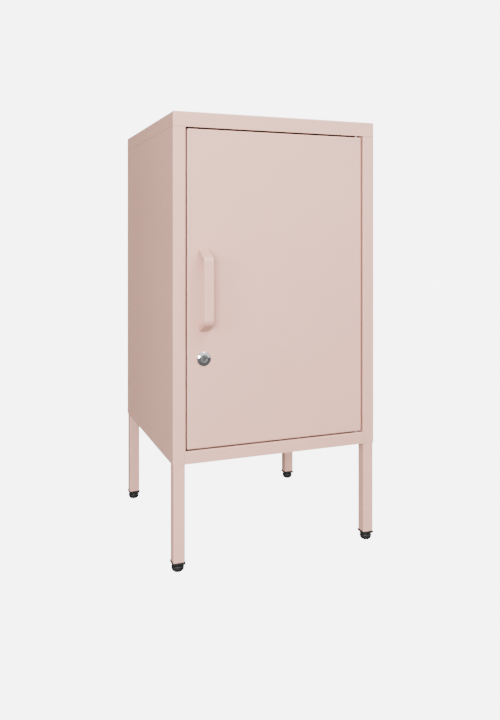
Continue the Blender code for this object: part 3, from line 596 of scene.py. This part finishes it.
def makeSidePanel(name, node, sign):
    half = sheet["thick"] / 2
    path = [(sign * (side - sidePanel["rearFlange"]), back - half), (sign * (side - half), back - half)]
    path += [(sign * (side - half), front + half), (sign * (opening + half), front + half)]
    if sign < 0:
        depth = front + sidePanel["stopDepth"] - half
        path += [(-opening - half, depth), (-opening + sidePanel["stopWidth"], depth)]
    else:
        depth = front + sidePanel["jambDepth"] - half
        path += [(opening + half, depth), (opening + sidePanel["stopWidth"], depth)]
    # beside the bottom rail the stile is cut back to its flat face, and the return flange goes
    reach = sidePanel["stopWidth"] + 2 * sheet["thick"]
    near, far = front - spare, front + sidePanel["stopDepth"] + spare
    middle = front + sidePanel["jambDepth"] - sidePanel["jambClear"]
    shape = [(opening - reach, near), (railEnd, near), (railEnd, middle)]
    shape += [(opening + reach, middle), (opening + reach, far), (opening - reach, far)]
    cuts = bmesh.new()
    skinRings(cuts, [[(sign * x, y, z) for x, y in shape] for z in (base - spare, base + railRise + gap)])
    for spot in rivetPlaces:
        if spot.x * sign > 0:
            roundBar(cuts, (spot.x, back, spot.z), "Y", sidePanel["rivetHole"], -0.003, 0.003)
    panel = foldedPiece(name, path, "Z", base, leftHigh.z, sheet["bend"], cuts)
    # the stile's inner edge takes painted shade, the left one more than the right
    shadeShare = slitShade["leftStile"] if sign < 0 else slitShade["rightStile"]
    paintSlitShade(panel, shadeShare, lambda p: abs(sign * p.x - opening) < slitShade["reach"])
    fit(panel, "carcass", "pink_powder_coat", node)


makeSidePanel("leftSidePanel", "left_side_panel", -1)
makeSidePanel("rightSidePanel", "right_side_panel", 1)


# back panel

def makeBackPanel():
    low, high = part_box("back_panel")
    bm = bmesh.new()
    blockShape(bm, low, high)
    panel = newObject("backPanel", bm)
    cuts = bmesh.new()
    for spot in rivetPlaces:
        roundBar(cuts, (spot.x, back, spot.z), "Y", sidePanel["rivetHole"], -0.004, 0.002)
    cutOut(panel, cuts)
    easeSheet(panel)
    fit(panel, "carcass", "pink_powder_coat", "back_panel")


makeBackPanel()


# floor, rails, shelf and the angle strips that tie the body together

inside = {"legNotch": 0.012, "boltHole": 0.0033, "bushHole": 0.0036, "flangeLow": 0.004, "railFlange": 0.0125,
          "shelfLip": 0.007}
boltPlaces = [middleOf("leg_bolt_" + corner) for corner in corners]
legHalf = (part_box("leg_front_left")[1].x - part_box("leg_front_left")[0].x) / 2


def makeFloor():
    low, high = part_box("floor_panel")
    half = sheet["thick"] / 2
    level = high.z - half
    path = [(low.y + half, base + inside["flangeLow"]), (low.y + half, level)]
    path += [(high.y - half, level), (high.y - half, low.z)]
    cuts = bmesh.new()
    room = legHalf + gap
    for corner, bolt in zip(corners, boltPlaces):
        x, y = footAxis[corner].x, footAxis[corner].y
        outside = math.copysign(side + 0.005, x)
        cutLow = (min(x - room, outside), y - inside["legNotch"], base - spare)
        cutHigh = (max(x + room, outside), y + inside["legNotch"], high.z - sheet["thick"] - 0.0001)
        blockShape(cuts, cutLow, cutHigh)
        roundBar(cuts, (bolt.x, bolt.y, high.z), "Z", inside["boltHole"], -0.002, 0.002)
    panel = foldedPiece("floorPanel", path, "X", low.x, high.x, sheet["bend"], cuts)
    fit(panel, "carcass", "pink_powder_coat", "floor_panel")


def makeRails():
    half = sheet["thick"] / 2
    low, high = railLow, railHigh
    path = [(low.y + half, low.z), (low.y + half, high.z - half)]
    path += [(high.y - half, high.z - half), (high.y - half, base + inside["flangeLow"])]
    cuts = bmesh.new()
    for sign in (-1, 1):  # only the front face reaches the stiles, in front of the legs
        ends = sorted((sign * (opening - gap), sign * (high.x + spare)))
        cutLow = (ends[0], low.y + sheet["thick"] + 0.0001, low.z - spare)
        blockShape(cuts, cutLow, (ends[1], high.y + spare, high.z + spare))
    roundBar(cuts, (hingeAxis.x, hingeAxis.y, high.z), "Z", inside["bushHole"], -0.0015, spare)
    rail = foldedPiece("bottomRail", path, "X", low.x, high.x, sheet["tightBend"], cuts)
    # the rail's top web in the slit under the door takes painted shade
    paintSlitShade(rail, slitShade["onBottomRail"], lambda p: p.z > railHigh.z - slitShade["reach"])
    fit(rail, "carcass", "pink_powder_coat", "bottom_rail")

    low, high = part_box("top_rail")
    path = [(low.y + half, high.z), (low.y + half, low.z + half)]
    path += [(high.y - half, low.z + half), (high.y - half, seam + inside["railFlange"])]
    cuts = bmesh.new()
    roundBar(cuts, (hingeAxis.x, hingeAxis.y, low.z), "Z", inside["bushHole"], -spare, 0.0015)
    rail = foldedPiece("topRail", path, "X", low.x, high.x, sheet["tightBend"], cuts)
    # the rail's underside in the slit over the door takes painted shade
    paintSlitShade(rail, slitShade["underTopRail"], lambda p: p.z < low.z + slitShade["reach"])
    fit(rail, "carcass", "pink_powder_coat", "top_rail")


def makeShelf():
    low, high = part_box("shelf")
    half = sheet["thick"] / 2
    path = [(low.y + half + inside["shelfLip"], low.z + half), (low.y + half, low.z + half)]
    path += [(low.y + half, high.z - half)]
    path += [(high.y - half, high.z - half), (high.y - half, low.z + half)]
    board = foldedPiece("shelfBoard", path, "X", low.x, high.x, sheet["bend"])
    fit(board, "carcass", "pink_powder_coat", "shelf")


def makeAngle(name, node, sign):
    # the outer leg stands on the side wall and the upper leg runs inwards under what it holds
    low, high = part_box(node)
    half = sheet["thick"] / 2
    wall, inner = (low.x + half, high.x) if sign < 0 else (high.x - half, low.x)
    path = [(wall, low.z), (wall, high.z - half), (inner, high.z - half)]
    strip = foldedPiece(name, path, "Y", low.y, high.y, sheet["tightBend"])
    fit(strip, "carcass", "pink_powder_coat", node)


makeFloor()
makeRails()
makeShelf()
for word, sign in (("left", -1), ("right", 1)):
    makeAngle(word + "CapAngle", word + "_cap_angle", sign)
    makeAngle(word + "ShelfLedge", word + "_shelf_ledge", sign)
print("body folded and fitted")


# legs, brackets and end plugs

leg = {"wall": 0.0012, "corner": 0.0020, "ease": 0.0002, "bracketCorner": 0.0012, "bracketEase": 0.0003}
insert = {"bore": 0.0043, "flangeHeight": 0.0035, "plug": 0.0077, "plugCorner": 0.0006,
          "flangeCorner": 0.0022, "barbs": 5, "barbProud": 0.0004, "barbFrom": 0.002, "barbRun": 0.004}


def makeLeg(corner):
    low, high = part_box("leg_" + corner)
    x, y = footAxis[corner].x, footAxis[corner].y
    half, hole = legHalf, legHalf - leg["wall"]
    sections = [(half, leg["corner"], low.z), (half, leg["corner"], high.z)]
    sections += [(hole, leg["corner"] - leg["wall"], high.z), (hole, leg["corner"] - leg["wall"], low.z)]
    place = Matrix.Translation((x, y, 0))
    bm = bmesh.new()
    skinRings(bm, [[place @ p for p in roundedSquare(s, s, r, z, 8)] for s, r, z in sections], closed=True)
    tube = newObject("leg." + corner, bm)
    easeSheet(tube, leg["ease"])
    fit(tube, "carcass", "pink_powder_coat", "leg_" + corner)


def makeBracket(corner, bolt):
    low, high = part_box("leg_bracket_" + corner)
    middle, size = (low + high) / 2, high - low
    place = Matrix.Translation((middle.x, middle.y, 0))
    rings = [roundedSquare(size.x / 2, size.y / 2, leg["bracketCorner"], z) for z in (low.z, high.z)]
    bm = bmesh.new()
    skinRings(bm, [[place @ p for p in ring] for ring in rings])
    plate = newObject("legBracket." + corner, bm)
    cuts = bmesh.new()
    roundBar(cuts, (bolt.x, bolt.y, high.z), "Z", inside["boltHole"], -0.005, 0.002)
    cutOut(plate, cuts)
    easeSheet(plate, leg["bracketEase"])
    fit(plate, "carcass", "pink_powder_coat", "leg_bracket_" + corner)


def makeInsert(corner):
    low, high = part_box("leg_insert_" + corner)
    x, y = footAxis[corner].x, footAxis[corner].y
    place = Matrix.Translation((x, y, 0))
    flange, flangeTop = (high.x - low.x) / 2, low.z + insert["flangeHeight"]
    plug, plugCorner, outer = insert["plug"], insert["plugCorner"], insert["flangeCorner"]
    barb = plug + insert["barbProud"]
    sections = [(flange - 0.0009, outer - 0.0008, low.z), (flange - 0.0003, outer - 0.0003, low.z + 0.0003)]
    sections += [(flange, outer, low.z + 0.0010), (flange, outer, flangeTop - 0.0003)]
    sections += [(flange - 0.0003, outer - 0.0002, flangeTop), (plug, plugCorner, flangeTop)]
    pitch = (high.z - flangeTop - insert["barbRun"]) / insert["barbs"]
    for i in range(insert["barbs"]):
        start = flangeTop + insert["barbFrom"] + i * pitch
        sections += [(plug, plugCorner, start), (barb, plugCorner + 0.0002, start + 0.0004)]
        sections.append((plug, plugCorner, start + pitch * 0.8))
    sections += [(plug, plugCorner, high.z - 0.0012), (plug - 0.0008, plugCorner, high.z)]
    bm = bmesh.new()
    skinRings(bm, [[place @ p for p in roundedSquare(s, s, r, z)] for s, r, z in sections])
    made = newObject("legInsert." + corner, bm)
    cuts = bmesh.new()
    roundBar(cuts, (x, y, 0), "Z", insert["bore"], low.z - 0.004, high.z + 0.004)
    cutOut(made, cuts)
    evenNormals(made)
    fit(made, "carcass", "black_plastic", "leg_insert_" + corner)


# levelling feet, one pad and one stud on each corner's own body

foot = {"bore": 0.0043, "boreFloor": 0.0047, "steps": 72, "arcSteps": 12, "neck": 0.0078,
        "neckHeight": 0.0022, "side": 0.0062, "flat": 0.0050, "shoulder": 0.0008}
stud = {"pitch": 0.00125, "ridge": 0.00022, "core": 0.0036, "lead": 0.0006, "threadFrom": 0.0008}


def makeFoot(corner):
    low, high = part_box("foot_pad_" + corner)
    x, y = footAxis[corner].x, footAxis[corner].y
    radius = (high.x - low.x) / 2
    flat, turnIn, neck, bend = foot["flat"], foot["side"], foot["neck"], foot["shoulder"]
    inward, shoulder = radius - flat, high.z - foot["neckHeight"]
    profile = [(flat - 0.0006, low.z), (flat, low.z + 0.0001)]
    for step in range(foot["arcSteps"] - 1, 0, -1):
        angle = math.pi / 2 * step / foot["arcSteps"]
        profile.append((radius - inward * (1 - math.cos(angle)), turnIn * (1 - math.sin(angle)) + 0.0001))
    profile += [(radius, turnIn), (radius, shoulder - bend - 0.0001)]
    profile += arcOf(radius - bend, shoulder - bend, bend, 10, 90, 4)
    profile += [(neck + 0.0003, shoulder), (neck, shoulder + 0.0003), (neck, high.z - 0.0002)]
    profile.append((neck - 0.0002, high.z))
    pad = turnedPiece("footPad." + corner, (x, y, 0), "Z", profile, foot["steps"])
    cuts = bmesh.new()
    roundBar(cuts, (x, y, 0), "Z", foot["bore"], foot["boreFloor"], high.z + 0.004)
    cutOut(pad, cuts)
    smoothOver(pad, 40)
    fit(pad, "foot_" + corner, "black_plastic", "foot_pad_" + corner)

    low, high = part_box("foot_stud_" + corner)
    core, lead, length = stud["core"], stud["lead"], high.z - low.z
    profile = [(core - lead, 0), (core, lead), (core, length - 0.001), (core - 0.001, length)]
    screw = turnedPiece("footStud." + corner, (0, 0, 0), "Z", profile, 36)
    values = {"Radius": core, "Length": length - 0.0022, "Pitch": stud["pitch"], "Ridge": stud["ridge"]}
    values.update({"Start": stud["threadFrom"], "Finish": finishes["zinc_plate"]})
    runTree(screw, trees["thread"], values)
    plainMesh(screw)
    screw.data.transform(Matrix.Translation((x, y, low.z)))
    smoothOver(screw, 40)
    fit(screw, "foot_" + corner, "zinc_plate", "foot_stud_" + corner)


for corner, bolt in zip(corners, boltPlaces):
    makeLeg(corner)
    makeBracket(corner, bolt)
    makeInsert(corner)
    makeFoot(corner)
print("legs and feet made")


# screws, bolts and rivets: one pattern each, set on their places

fastener = {"crossWidth": 0.0009, "crossDepth": 0.0012, "crossReach": 0.52, "core": 0.90, "point": 0.0006,
            "rim": 0.35, "pitch": 0.34, "ridge": 0.08}
# half widths of shank and head, height of head, length, and where the thread starts
legBolt = {"shank": 0.0029, "head": 0.0055, "rise": 0.0031, "length": 0.0088, "threadFrom": 0.0018}
handleScrew = {"shank": 0.0016, "head": 0.0036, "rise": 0.0022, "length": 0.0203, "threadFrom": 0.0150}
camScrew = {"shank": 0.0017, "head": 0.0046, "rise": 0.0024, "length": 0.0100, "threadFrom": 0.0030}
rivet = {"shank": 0.0016, "tail": -0.0030, "head": 0.0032, "proud": 0.0012}


def crossRecess(pattern, reach, crown):
    width, depth = fastener["crossWidth"] / 2, fastener["crossDepth"]
    for x, y in ((reach, width), (width, reach)):
        cuts = bmesh.new()
        blockShape(cuts, (-x, -y, crown - depth), (x, y, crown + 0.002))
        cutOut(pattern, cuts)


def panScrewPattern(name, screw):
    # stands on z = 0 under its head, with the shank running down
    shank, head, rise, length = screw["shank"], screw["head"], screw["rise"], screw["length"]
    core, rim = shank * fastener["core"], fastener["rim"]
    profile = [(core * 0.6, -length), (core, -length + fastener["point"]), (core, -screw["threadFrom"])]
    profile += [(shank, -screw["threadFrom"]), (shank, 0)]
    profile += [(head - 0.0002, 0), (head, 0.0002), (head, rise * rim)]
    for degrees in range(12, 88, 12):
        angle = math.radians(degrees)
        profile.append((head * math.cos(angle), rise * (rim + (1 - rim) * math.sin(angle))))
    profile.append((head * 0.04, rise))
    pattern = turnedPiece(name, (0, 0, 0), "Z", profile, 40)
    crossRecess(pattern, head * fastener["crossReach"], rise)
    values = {"Radius": core, "Length": length - screw["threadFrom"] - 0.001, "Start": -length + 0.0007}
    values.update({"Pitch": shank * fastener["pitch"], "Ridge": shank * fastener["ridge"]})
    values["Finish"] = finishes["zinc_plate"]
    runTree(pattern, trees["thread"], values)
    plainMesh(pattern)
    smoothOver(pattern, 38)
    return pattern


def rivetPattern():
    shank, tail, head, proud = rivet["shank"], rivet["tail"], rivet["head"], rivet["proud"]
    profile = [(0.0007, tail), (shank + 0.0001, tail + 0.0006), (shank, -0.0006), (shank, 0.0002)]
    profile += [(head - 0.0001, 0.0002), (head, 0.0003), (head * 0.96, 0.0006), (head * 0.80, 0.0010)]
    profile += [(head * 0.55, proud), (0.0011, proud), (0.0009, proud - 0.0004), (0.0006, proud - 0.0005)]
    profile += [(0.0005, proud - 0.0003), (0.0001, proud - 0.0003)]
    return turnedPiece("blindRivet", (0, 0, 0), "Z", profile, 36, 40)


def setFasteners(name, pattern, places, axis, seed, body, slot, nodes):
    matrix = turnTo(axis)
    mesh = bpy.data.meshes.new(name)
    mesh.from_pydata([matrix.inverted() @ Vector(p) for p in places], [], [])
    made = putIn(name, mesh)
    runTree(made, trees["fasteners"], {"Fastener": pattern, "Turn Seed": seed, "Finish": finishes[slot]})
    plainMesh(made)
    made.data.transform(matrix)
    smoothOver(made, 38)
    bpy.data.objects.remove(pattern)
    fit(made, body, slot, *nodes)


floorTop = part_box("floor_panel")[1].z
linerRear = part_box("door_liner")[1].y
boltNodes = ["leg_bolt_" + corner for corner in corners]
screwNodes = ["handle_screw_lower", "handle_screw_upper"]
screwPlaces = [middleOf(n) for n in screwNodes]

setFasteners("legBolts", panScrewPattern("legBolt", legBolt),
             [(p.x, p.y, floorTop + gap) for p in boltPlaces], "Z", 4, "carcass", "zinc_plate", boltNodes)
setFasteners("rearRivets", rivetPattern(), [(p.x, back, p.z) for p in rivetPlaces],
             "Y", 7, "carcass", "zinc_plate", rivetNodes)
setFasteners("handleScrews", panScrewPattern("handleScrew", handleScrew),
             [(p.x, linerRear + gap, p.z) for p in screwPlaces], "Y", 11, "door", "zinc_plate", screwNodes)
print("fasteners set")


# hinge: bushes in the rails, pins in the door

hinge = {"bore": 0.0023, "sleeve": 0.0033, "flange": 0.0045, "flangeThick": 0.0012, "pin": 0.0020,
         "pinHead": 0.0040, "pinHeadThick": 0.0015}


def makeBush(level, profile, closed):
    place = (hingeAxis.x, hingeAxis.y, 0)
    bush = turnedPiece("hingeBush." + level, place, "Z", profile, 48, 35, closed)
    fit(bush, "carcass", "white_nylon", "hinge_bush_" + level)


def makeBushes():
    bore, sleeve, flange, thick = hinge["bore"], hinge["sleeve"], hinge["flange"], hinge["flangeThick"]
    # the upper bush is open at both ends, with its flange on top of the rail's web
    low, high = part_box("hinge_bush_upper")
    web = seam + sheet["thick"] + gap
    profile = [(bore + 0.0002, low.z), (sleeve - 0.0002, low.z), (sleeve, low.z + 0.0002), (sleeve, web)]
    profile += [(flange, web), (flange, web + thick - 0.0002), (flange - 0.0002, web + thick)]
    profile += [(sleeve, web + thick), (sleeve, high.z - 0.0003), (sleeve - 0.0003, high.z)]
    profile += [(bore + 0.0002, high.z), (bore, high.z - 0.0002), (bore, low.z + 0.0002)]
    makeBush("upper", profile, True)

    # the lower one is a blind cup, with its flange under the web
    low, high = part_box("hinge_bush_lower")
    web = railHigh.z - sheet["thick"] - gap
    profile = [(sleeve - 0.0004, low.z), (sleeve, low.z + 0.0004), (sleeve, web - thick)]
    profile += [(flange - 0.0002, web - thick), (flange, web - thick + 0.0002), (flange, web), (sleeve, web)]
    profile += [(sleeve, high.z - 0.0002), (sleeve - 0.0002, high.z), (bore + 0.0002, high.z)]
    profile += [(bore, high.z - 0.0002), (bore, low.z + 0.0010)]
    makeBush("lower", profile, False)


def makePins():
    for level, sense in (("upper", 1), ("lower", -1)):
        low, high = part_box("hinge_pin_" + level)
        start, end = (low.z, high.z) if sense > 0 else (high.z, low.z)
        shank, head, thick = hinge["pin"], hinge["pinHead"], hinge["pinHeadThick"]
        profile = [(head - 0.0003, start), (head, start + sense * 0.0003)]
        profile += [(head, start + sense * (thick - 0.0002)), (head - 0.0002, start + sense * thick)]
        profile += [(shank, start + sense * thick), (shank, end - sense * 0.0008)]
        profile += [(shank - 0.0003, end - sense * 0.0003), (shank - 0.0007, end)]
        pin = turnedPiece("hingePin." + level, (hingeAxis.x, hingeAxis.y, 0), "Z", profile, 40, 35)
        fit(pin, "door", "zinc_plate", "hinge_pin_" + level)


bumper = {"rim": 0.35, "crownIn": 0.0016}


def makeBumpers():
    for level in ("lower", "upper"):
        low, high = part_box("door_bumper_" + level)
        x, z, radius = (low.x + high.x) / 2, (low.z + high.z) / 2, (high.z - low.z) / 2
        height, rim = high.y - low.y, bumper["rim"]
        profile = [(radius, 0), (radius, -height * rim)]
        for degrees in range(15, 91, 15):
            angle = math.radians(degrees)
            crown = bumper["crownIn"] * (1 - math.cos(angle))
            profile.append((radius - crown, -height * (rim + (1 - rim) * math.sin(angle))))
        made = turnedPiece("doorBumper." + level, (x, high.y, z), "Y", profile, 48, 40)
        fit(made, "carcass", "soft_rubber", "door_bumper_" + level)


makeBushes()
makePins()
makeBumpers()


# door: outer skin, liner, handle and lock

door = {"lockHole": 0.0095, "screwHole": 0.0019, "pinHole": 0.0023}
handleLow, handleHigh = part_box("pull_handle")


def makeDoor():
    middle, size = (doorLow + doorHigh) / 2, doorHigh - doorLow
    bm = bmesh.new()
    facing = Matrix.Rotation(math.pi / 2, 4, "X")
    place = Matrix.Translation((middle.x, doorLow.y, middle.z)) @ facing
    pressedTray(bm, place, size.x, size.z, size.y, sheet["bend"])
    skin = newObject("doorSkin", bm)
    cuts = bmesh.new()
    roundBar(cuts, (lockAxis.x, front, lockAxis.z), "Y", door["lockHole"], -0.003, 0.003, 64)
    for spot in screwPlaces:
        roundBar(cuts, (spot.x, front, spot.z), "Y", door["screwHole"], -0.003, 0.003)
    for z in (doorLow.z, doorHigh.z):
        roundBar(cuts, (hingeAxis.x, hingeAxis.y, z), "Z", door["pinHole"], -0.002, 0.002)
    cutOut(skin, cuts)
    easeSheet(skin)
    # the door skin's left edge in the slit takes painted shade
    paintSlitShade(skin, slitShade["doorEdge"], lambda p: p.x < doorLow.x + slitShade["reach"])
    fit(skin, "door", "pink_powder_coat", "door_skin")

    low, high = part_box("door_liner")
    middle, size = (low + high) / 2, high - low
    bm = bmesh.new()
    place = Matrix.Translation((middle.x, high.y, middle.z)) @ facing.inverted()
    pressedTray(bm, place, size.x, size.z, size.y, sheet["tightBend"])
    liner = newObject("doorLiner", bm)
    cuts = bmesh.new()
    roundBar(cuts, (lockAxis.x, high.y, lockAxis.z), "Y", door["lockHole"], -0.002, 0.001, 64)
    for spot in screwPlaces:
        roundBar(cuts, (spot.x, high.y, spot.z), "Y", door["screwHole"], -0.002, 0.001)
    cutOut(liner, cuts)
    easeSheet(liner)
    fit(liner, "door", "pink_powder_coat", "door_liner")


handle = {"strap": 0.0045, "foot": 0.010, "slope": 0.014, "innerSlope": 0.7, "ease": 0.0017,
          "outerBend": 0.012, "innerBend": 0.008, "screwDepth": 0.0054}


def makeHandle():
    face, far = handleHigh.y, handleLow.y
    low, high = handleLow.z, handleHigh.z
    inner, slope, end = far + handle["strap"], handle["slope"], handle["foot"]
    innerEnd = end + slope * handle["innerSlope"]
    # the bow in side view: outer bends, then the inner ones
    outline = roundedOutline([
        ((face, low), 0), ((far, low + slope), handle["outerBend"]),
        ((far, high - slope), handle["outerBend"]), ((face, high), 0), ((face, high - end), 0),
        ((inner, high - innerEnd), handle["innerBend"]),
        ((inner, low + innerEnd), handle["innerBend"]), ((face, low + end), 0)])
    bm = bmesh.new()
    skinRings(bm, [[(x, *p) for p in outline] for x in (handleLow.x, handleHigh.x)])
    bow = newObject("pullHandle", bm)
    easeEdges(bow, handle["ease"], 5, 50)
    cuts = bmesh.new()
    for spot in screwPlaces:
        roundBar(cuts, (spot.x, front, spot.z), "Y", door["screwHole"], -handle["screwDepth"], 0.002)
    cutOut(bow, cuts)
    evenNormals(bow)
    fit(bow, "door", "pink_powder_coat", "pull_handle")


lock = {"head": 0.011, "bore": 0.0064, "body": 0.0090, "bevel": 0.0030, "bevelDrop": 0.0016,
        "thread": 0.00018, "pitch": 0.0010, "threadFrom": 0.0020, "threadStop": 0.0030, "nut": 0.0139,
        "nutEase": 0.0004}


def makeLockHousing():
    low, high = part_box("lock_housing")
    face, end = low.y - lockAxis.y, high.y - lockAxis.y
    radius, bore, body = lock["head"], lock["bore"], lock["body"]
    # bezel: a narrow crowned lip round the plug, then a wide polished bevel down to the door
    crown, skirt = radius - lock["bevel"], face + lock["bevelDrop"]
    profile = [(bore, face + 0.0003), (bore + 0.0002, face), (crown - 0.0003, face + 0.0001)]
    profile += [(crown, face + 0.0002), (radius - 0.0003, skirt), (radius, skirt + 0.0002)]
    profile += [(radius, -gap - 0.0002), (radius - 0.0002, -gap), (body, -gap), (body, end - 0.0006)]
    profile += [(body - 0.0006, end), (bore, end)]
    housing = turnedPiece("lockHousing", (0, 0, 0), "Z", profile, 96, closed=True)
    values = {"Radius": body, "Length": end - lock["threadStop"], "Start": lock["threadFrom"]}
    values.update({"Pitch": lock["pitch"], "Ridge": lock["thread"], "Finish": finishes["chrome_plate"]})
    runTree(housing, trees["thread"], values)
    plainMesh(housing)
    housing.data.transform(Matrix.Translation(lockAxis) @ turnTo("Y"))
    smoothOver(housing, 35)
    fit(housing, "door", "chrome_plate", "lock_housing")

    low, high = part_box("lock_nut")
    start, stop = low.y - lockAxis.y, high.y - lockAxis.y
    nut = turnedPiece("lockNut", lockAxis, "Y", [(lock["nut"], start), (lock["nut"], stop)], 6)
    cuts = bmesh.new()
    roundBar(cuts, lockAxis, "Y", door["lockHole"], start - spare, stop + spare, 64)
    cutOut(nut, cuts)
    easeEdges(nut, lock["nutEase"], 3, 25)
    smoothOver(nut, 25)
    fit(nut, "door", "zinc_plate", "lock_nut")


plug = {"radius": 0.0061, "grooves": (0.0036, 0.0048), "grooveDeep": 0.0005, "grooveHalf": 0.0003,
        "keyReach": 0.0032, "keyWidth": 0.0009, "keyPost": 0.0010, "keyDeep": 0.008, "tail": 0.0040,
        "tailFlat": 0.0030, "screwBore": 0.0020, "screwDeep": 0.0085}
cam = {"half": 0.008, "crown": 0.93, "tipIn": 0.001, "tipRound": 0.003, "ease": 0.00035}


def makeLockBarrel():
    low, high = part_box("lock_plug")
    face, end = low.y - lockAxis.y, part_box("lock_housing")[1].y - lockAxis.y
    radius, tail, flat, half = plug["radius"], plug["tail"], plug["tailFlat"], plug["grooveHalf"]
    profile = [(0.0002, face + 0.0002)]
    for groove in plug["grooves"]:  # turned into the plug's face
        profile += [(groove - half, face + 0.0001), (groove, face + plug["grooveDeep"])]
        profile.append((groove + half, face + 0.0001))
    profile += [(radius - 0.0005, face), (radius - 0.0002, face + 0.0001), (radius, face + 0.0004)]
    profile += [(radius, end), (tail, end, flat), (tail, high.y - lockAxis.y, flat)]
    barrel = turnedPiece("lockPlug", lockAxis, "Y", profile, 96)
    # four slots round a middle post
    width, deep = plug["keyWidth"], plug["keyDeep"]
    cuts = bmesh.new()
    for sign in (-1, 1):
        start, stop = sorted((sign * plug["keyPost"], sign * plug["keyReach"]))
        upright = (Vector((-width, -0.006, start)), Vector((width, deep, stop)))
        level = (Vector((start, -0.006, -width)), Vector((stop, deep, width)))
        for near, far in (upright, level):
            blockShape(cuts, lockAxis + near, lockAxis + far)
    cutOut(barrel, cuts)
    cuts = bmesh.new()
    roundBar(cuts, lockAxis, "Y", plug["screwBore"], end - plug["screwDeep"], end + 0.005)
    cutOut(barrel, cuts)
    smoothOver(barrel, 30)
    fit(barrel, "lock_barrel", "satin_nickel", "lock_plug")

    low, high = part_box("lock_cam")
    width, tip = cam["half"], lockAxis.z - low.z
    crown, tipHalf = width * cam["crown"], width - cam["tipIn"]
    outline = roundedOutline([((-width, width), crown), ((width, width), crown),
                              ((tipHalf, -tip), cam["tipRound"]), ((-tipHalf, -tip), cam["tipRound"])])
    bm = bmesh.new()
    skinRings(bm, [[(lockAxis.x + p.x, y, lockAxis.z + p.y) for p in outline] for y in (low.y, high.y)])
    plate = newObject("lockCam", bm)
    cuts = bmesh.new()
    ends = (low.y - lockAxis.y - spare, high.y - lockAxis.y + spare)
    turnedShape(cuts, lockAxis, "Y", [(tail + gap, y, flat + gap) for y in ends], 40)
    cutOut(plate, cuts)
    easeEdges(plate, cam["ease"], 3, 40)
    smoothOver(plate, 28)
    fit(plate, "lock_barrel", "zinc_plate", "lock_cam")

    low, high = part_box("cam_screw")
    place = (lockAxis.x, high.y - camScrew["rise"], lockAxis.z)
    setFasteners("camScrew", panScrewPattern("camScrewPattern", camScrew), [place],
                 "Y", 3, "lock_barrel", "zinc_plate", ["cam_screw"])


makeDoor()
makeHandle()
makeLockHousing()
makeLockBarrel()
print("door, handle and lock made")


# studio: pale floor, plain surround, soft lights

studio = {"backdrop": 6.53, "airFront": 2.6, "airBack": 0.20, "fade": (-0.50, -0.10), "floorPaint": 0.13,
          "floorHalf": 4.0, "floorLevel": -0.0002}
softboxes = {
    "keySoftbox": {"place": (0.45, -1.15, 2.1), "target": (0, 0, 0.40), "size": (0.9, 0.9), "power": 36},
    "sideSoftbox": {"place": (-1.9, -1.2, 0.80), "target": (0, 0, 0.50), "size": (0.45, 0.7), "power": 18},
    "frontSoftbox": {"place": (-1.15, -1.95, 0.75), "target": (0, 0, 0.35), "size": (0.7, 0.7), "power": 62},
    "rearSoftbox": {"place": (1.6, 2.2, 1.3), "target": (0, 0, 0.40), "size": (1.5, 1.5), "power": 100},
}


def brightForCamera(tree, dimmer):
    # the plain backdrop is burnt out to pale, and the cabinet is lit by the dimmer air
    path = addNode(tree, "ShaderNodeLightPath")
    glow = addNode(tree, "ShaderNodeEmission")
    glow.inputs["Strength"].default_value = studio["backdrop"]
    mix = addNode(tree, "ShaderNodeMixShader")
    tree.links.new(path.outputs["Is Camera Ray"], mix.inputs["Fac"])
    tree.links.new(dimmer, mix.inputs[1])
    tree.links.new(glow.outputs["Emission"], mix.inputs[2])
    return mix.outputs["Shader"]


def makeFloorSheet():
    bm = bmesh.new()
    half = studio["floorHalf"]
    bm.faces.new([bm.verts.new((x * half, y * half, 0)) for x, y in ((-1, -1), (1, -1), (1, 1), (-1, 1))])
    mesh = bpy.data.meshes.new("studioFloor")
    bm.to_mesh(mesh)
    bm.free()
    floor = putIn("studioFloor", mesh)
    floor.location.z = studio["floorLevel"]
    paint, tree, shader = newFinish("paleFloor")
    shader.inputs["Base Color"].default_value = (*[studio["floorPaint"]] * 3, 1)
    shader.inputs["Roughness"].default_value = 1.0
    shader.inputs["Specular IOR Level"].default_value = 0.0
    surface = brightForCamera(tree, shader.outputs["BSDF"])
    tree.links.new(surface, tree.nodes["Material Output"].inputs["Surface"])
    floor.data.materials.append(paint)


def makeAir():
    world = bpy.data.worlds.new("studioAir")
    world.use_nodes = True
    tree = world.node_tree
    sky = tree.nodes["Background"]
    sky.inputs["Color"].default_value = (1, 1, 1, 1)
    # the air is bright in front of the cabinet and dim beside and behind it
    way = addNode(tree, "ShaderNodeSeparateXYZ")
    tree.links.new(addNode(tree, "ShaderNodeTexCoord").outputs["Generated"], way.inputs["Vector"])
    fade = spread(tree, way.outputs["Y"], studio["airFront"], studio["airBack"], *studio["fade"])
    tree.links.new(fade, sky.inputs["Strength"])
    surface = brightForCamera(tree, sky.outputs["Background"])
    tree.links.new(surface, tree.nodes["World Output"].inputs["Surface"])
    bpy.context.scene.world = world


def softLight(name, box):
    lamp = bpy.data.lights.new(name, "AREA")
    lamp.shape = "RECTANGLE"
    lamp.size, lamp.size_y = box["size"]
    lamp.energy = box["power"]
    made = putIn(name, lamp)
    made.location = box["place"]
    aim = Vector(box["target"]) - Vector(box["place"])
    made.rotation_euler = aim.to_track_quat("-Z", "Y").to_euler()


makeFloorSheet()
makeAir()
for name, box in softboxes.items():
    softLight(name, box)


# camera

cameraSet = {"place": (-0.4555, -1.2227, 0.5180), "turn": -20.935, "lens": 35.892, "rise": -0.1751}


def makeCamera():
    data = bpy.data.cameras.new("frontLeftView")
    data.lens = cameraSet["lens"]
    data.sensor_width = 36
    data.shift_y = cameraSet["rise"]
    data.clip_start, data.clip_end = 0.05, 30
    made = putIn("frontLeftView", data)
    made.location = cameraSet["place"]
    made.rotation_euler = (math.pi / 2, 0, math.radians(cameraSet["turn"]))
    bpy.context.scene.camera = made


makeCamera()
print("studio and camera ready")
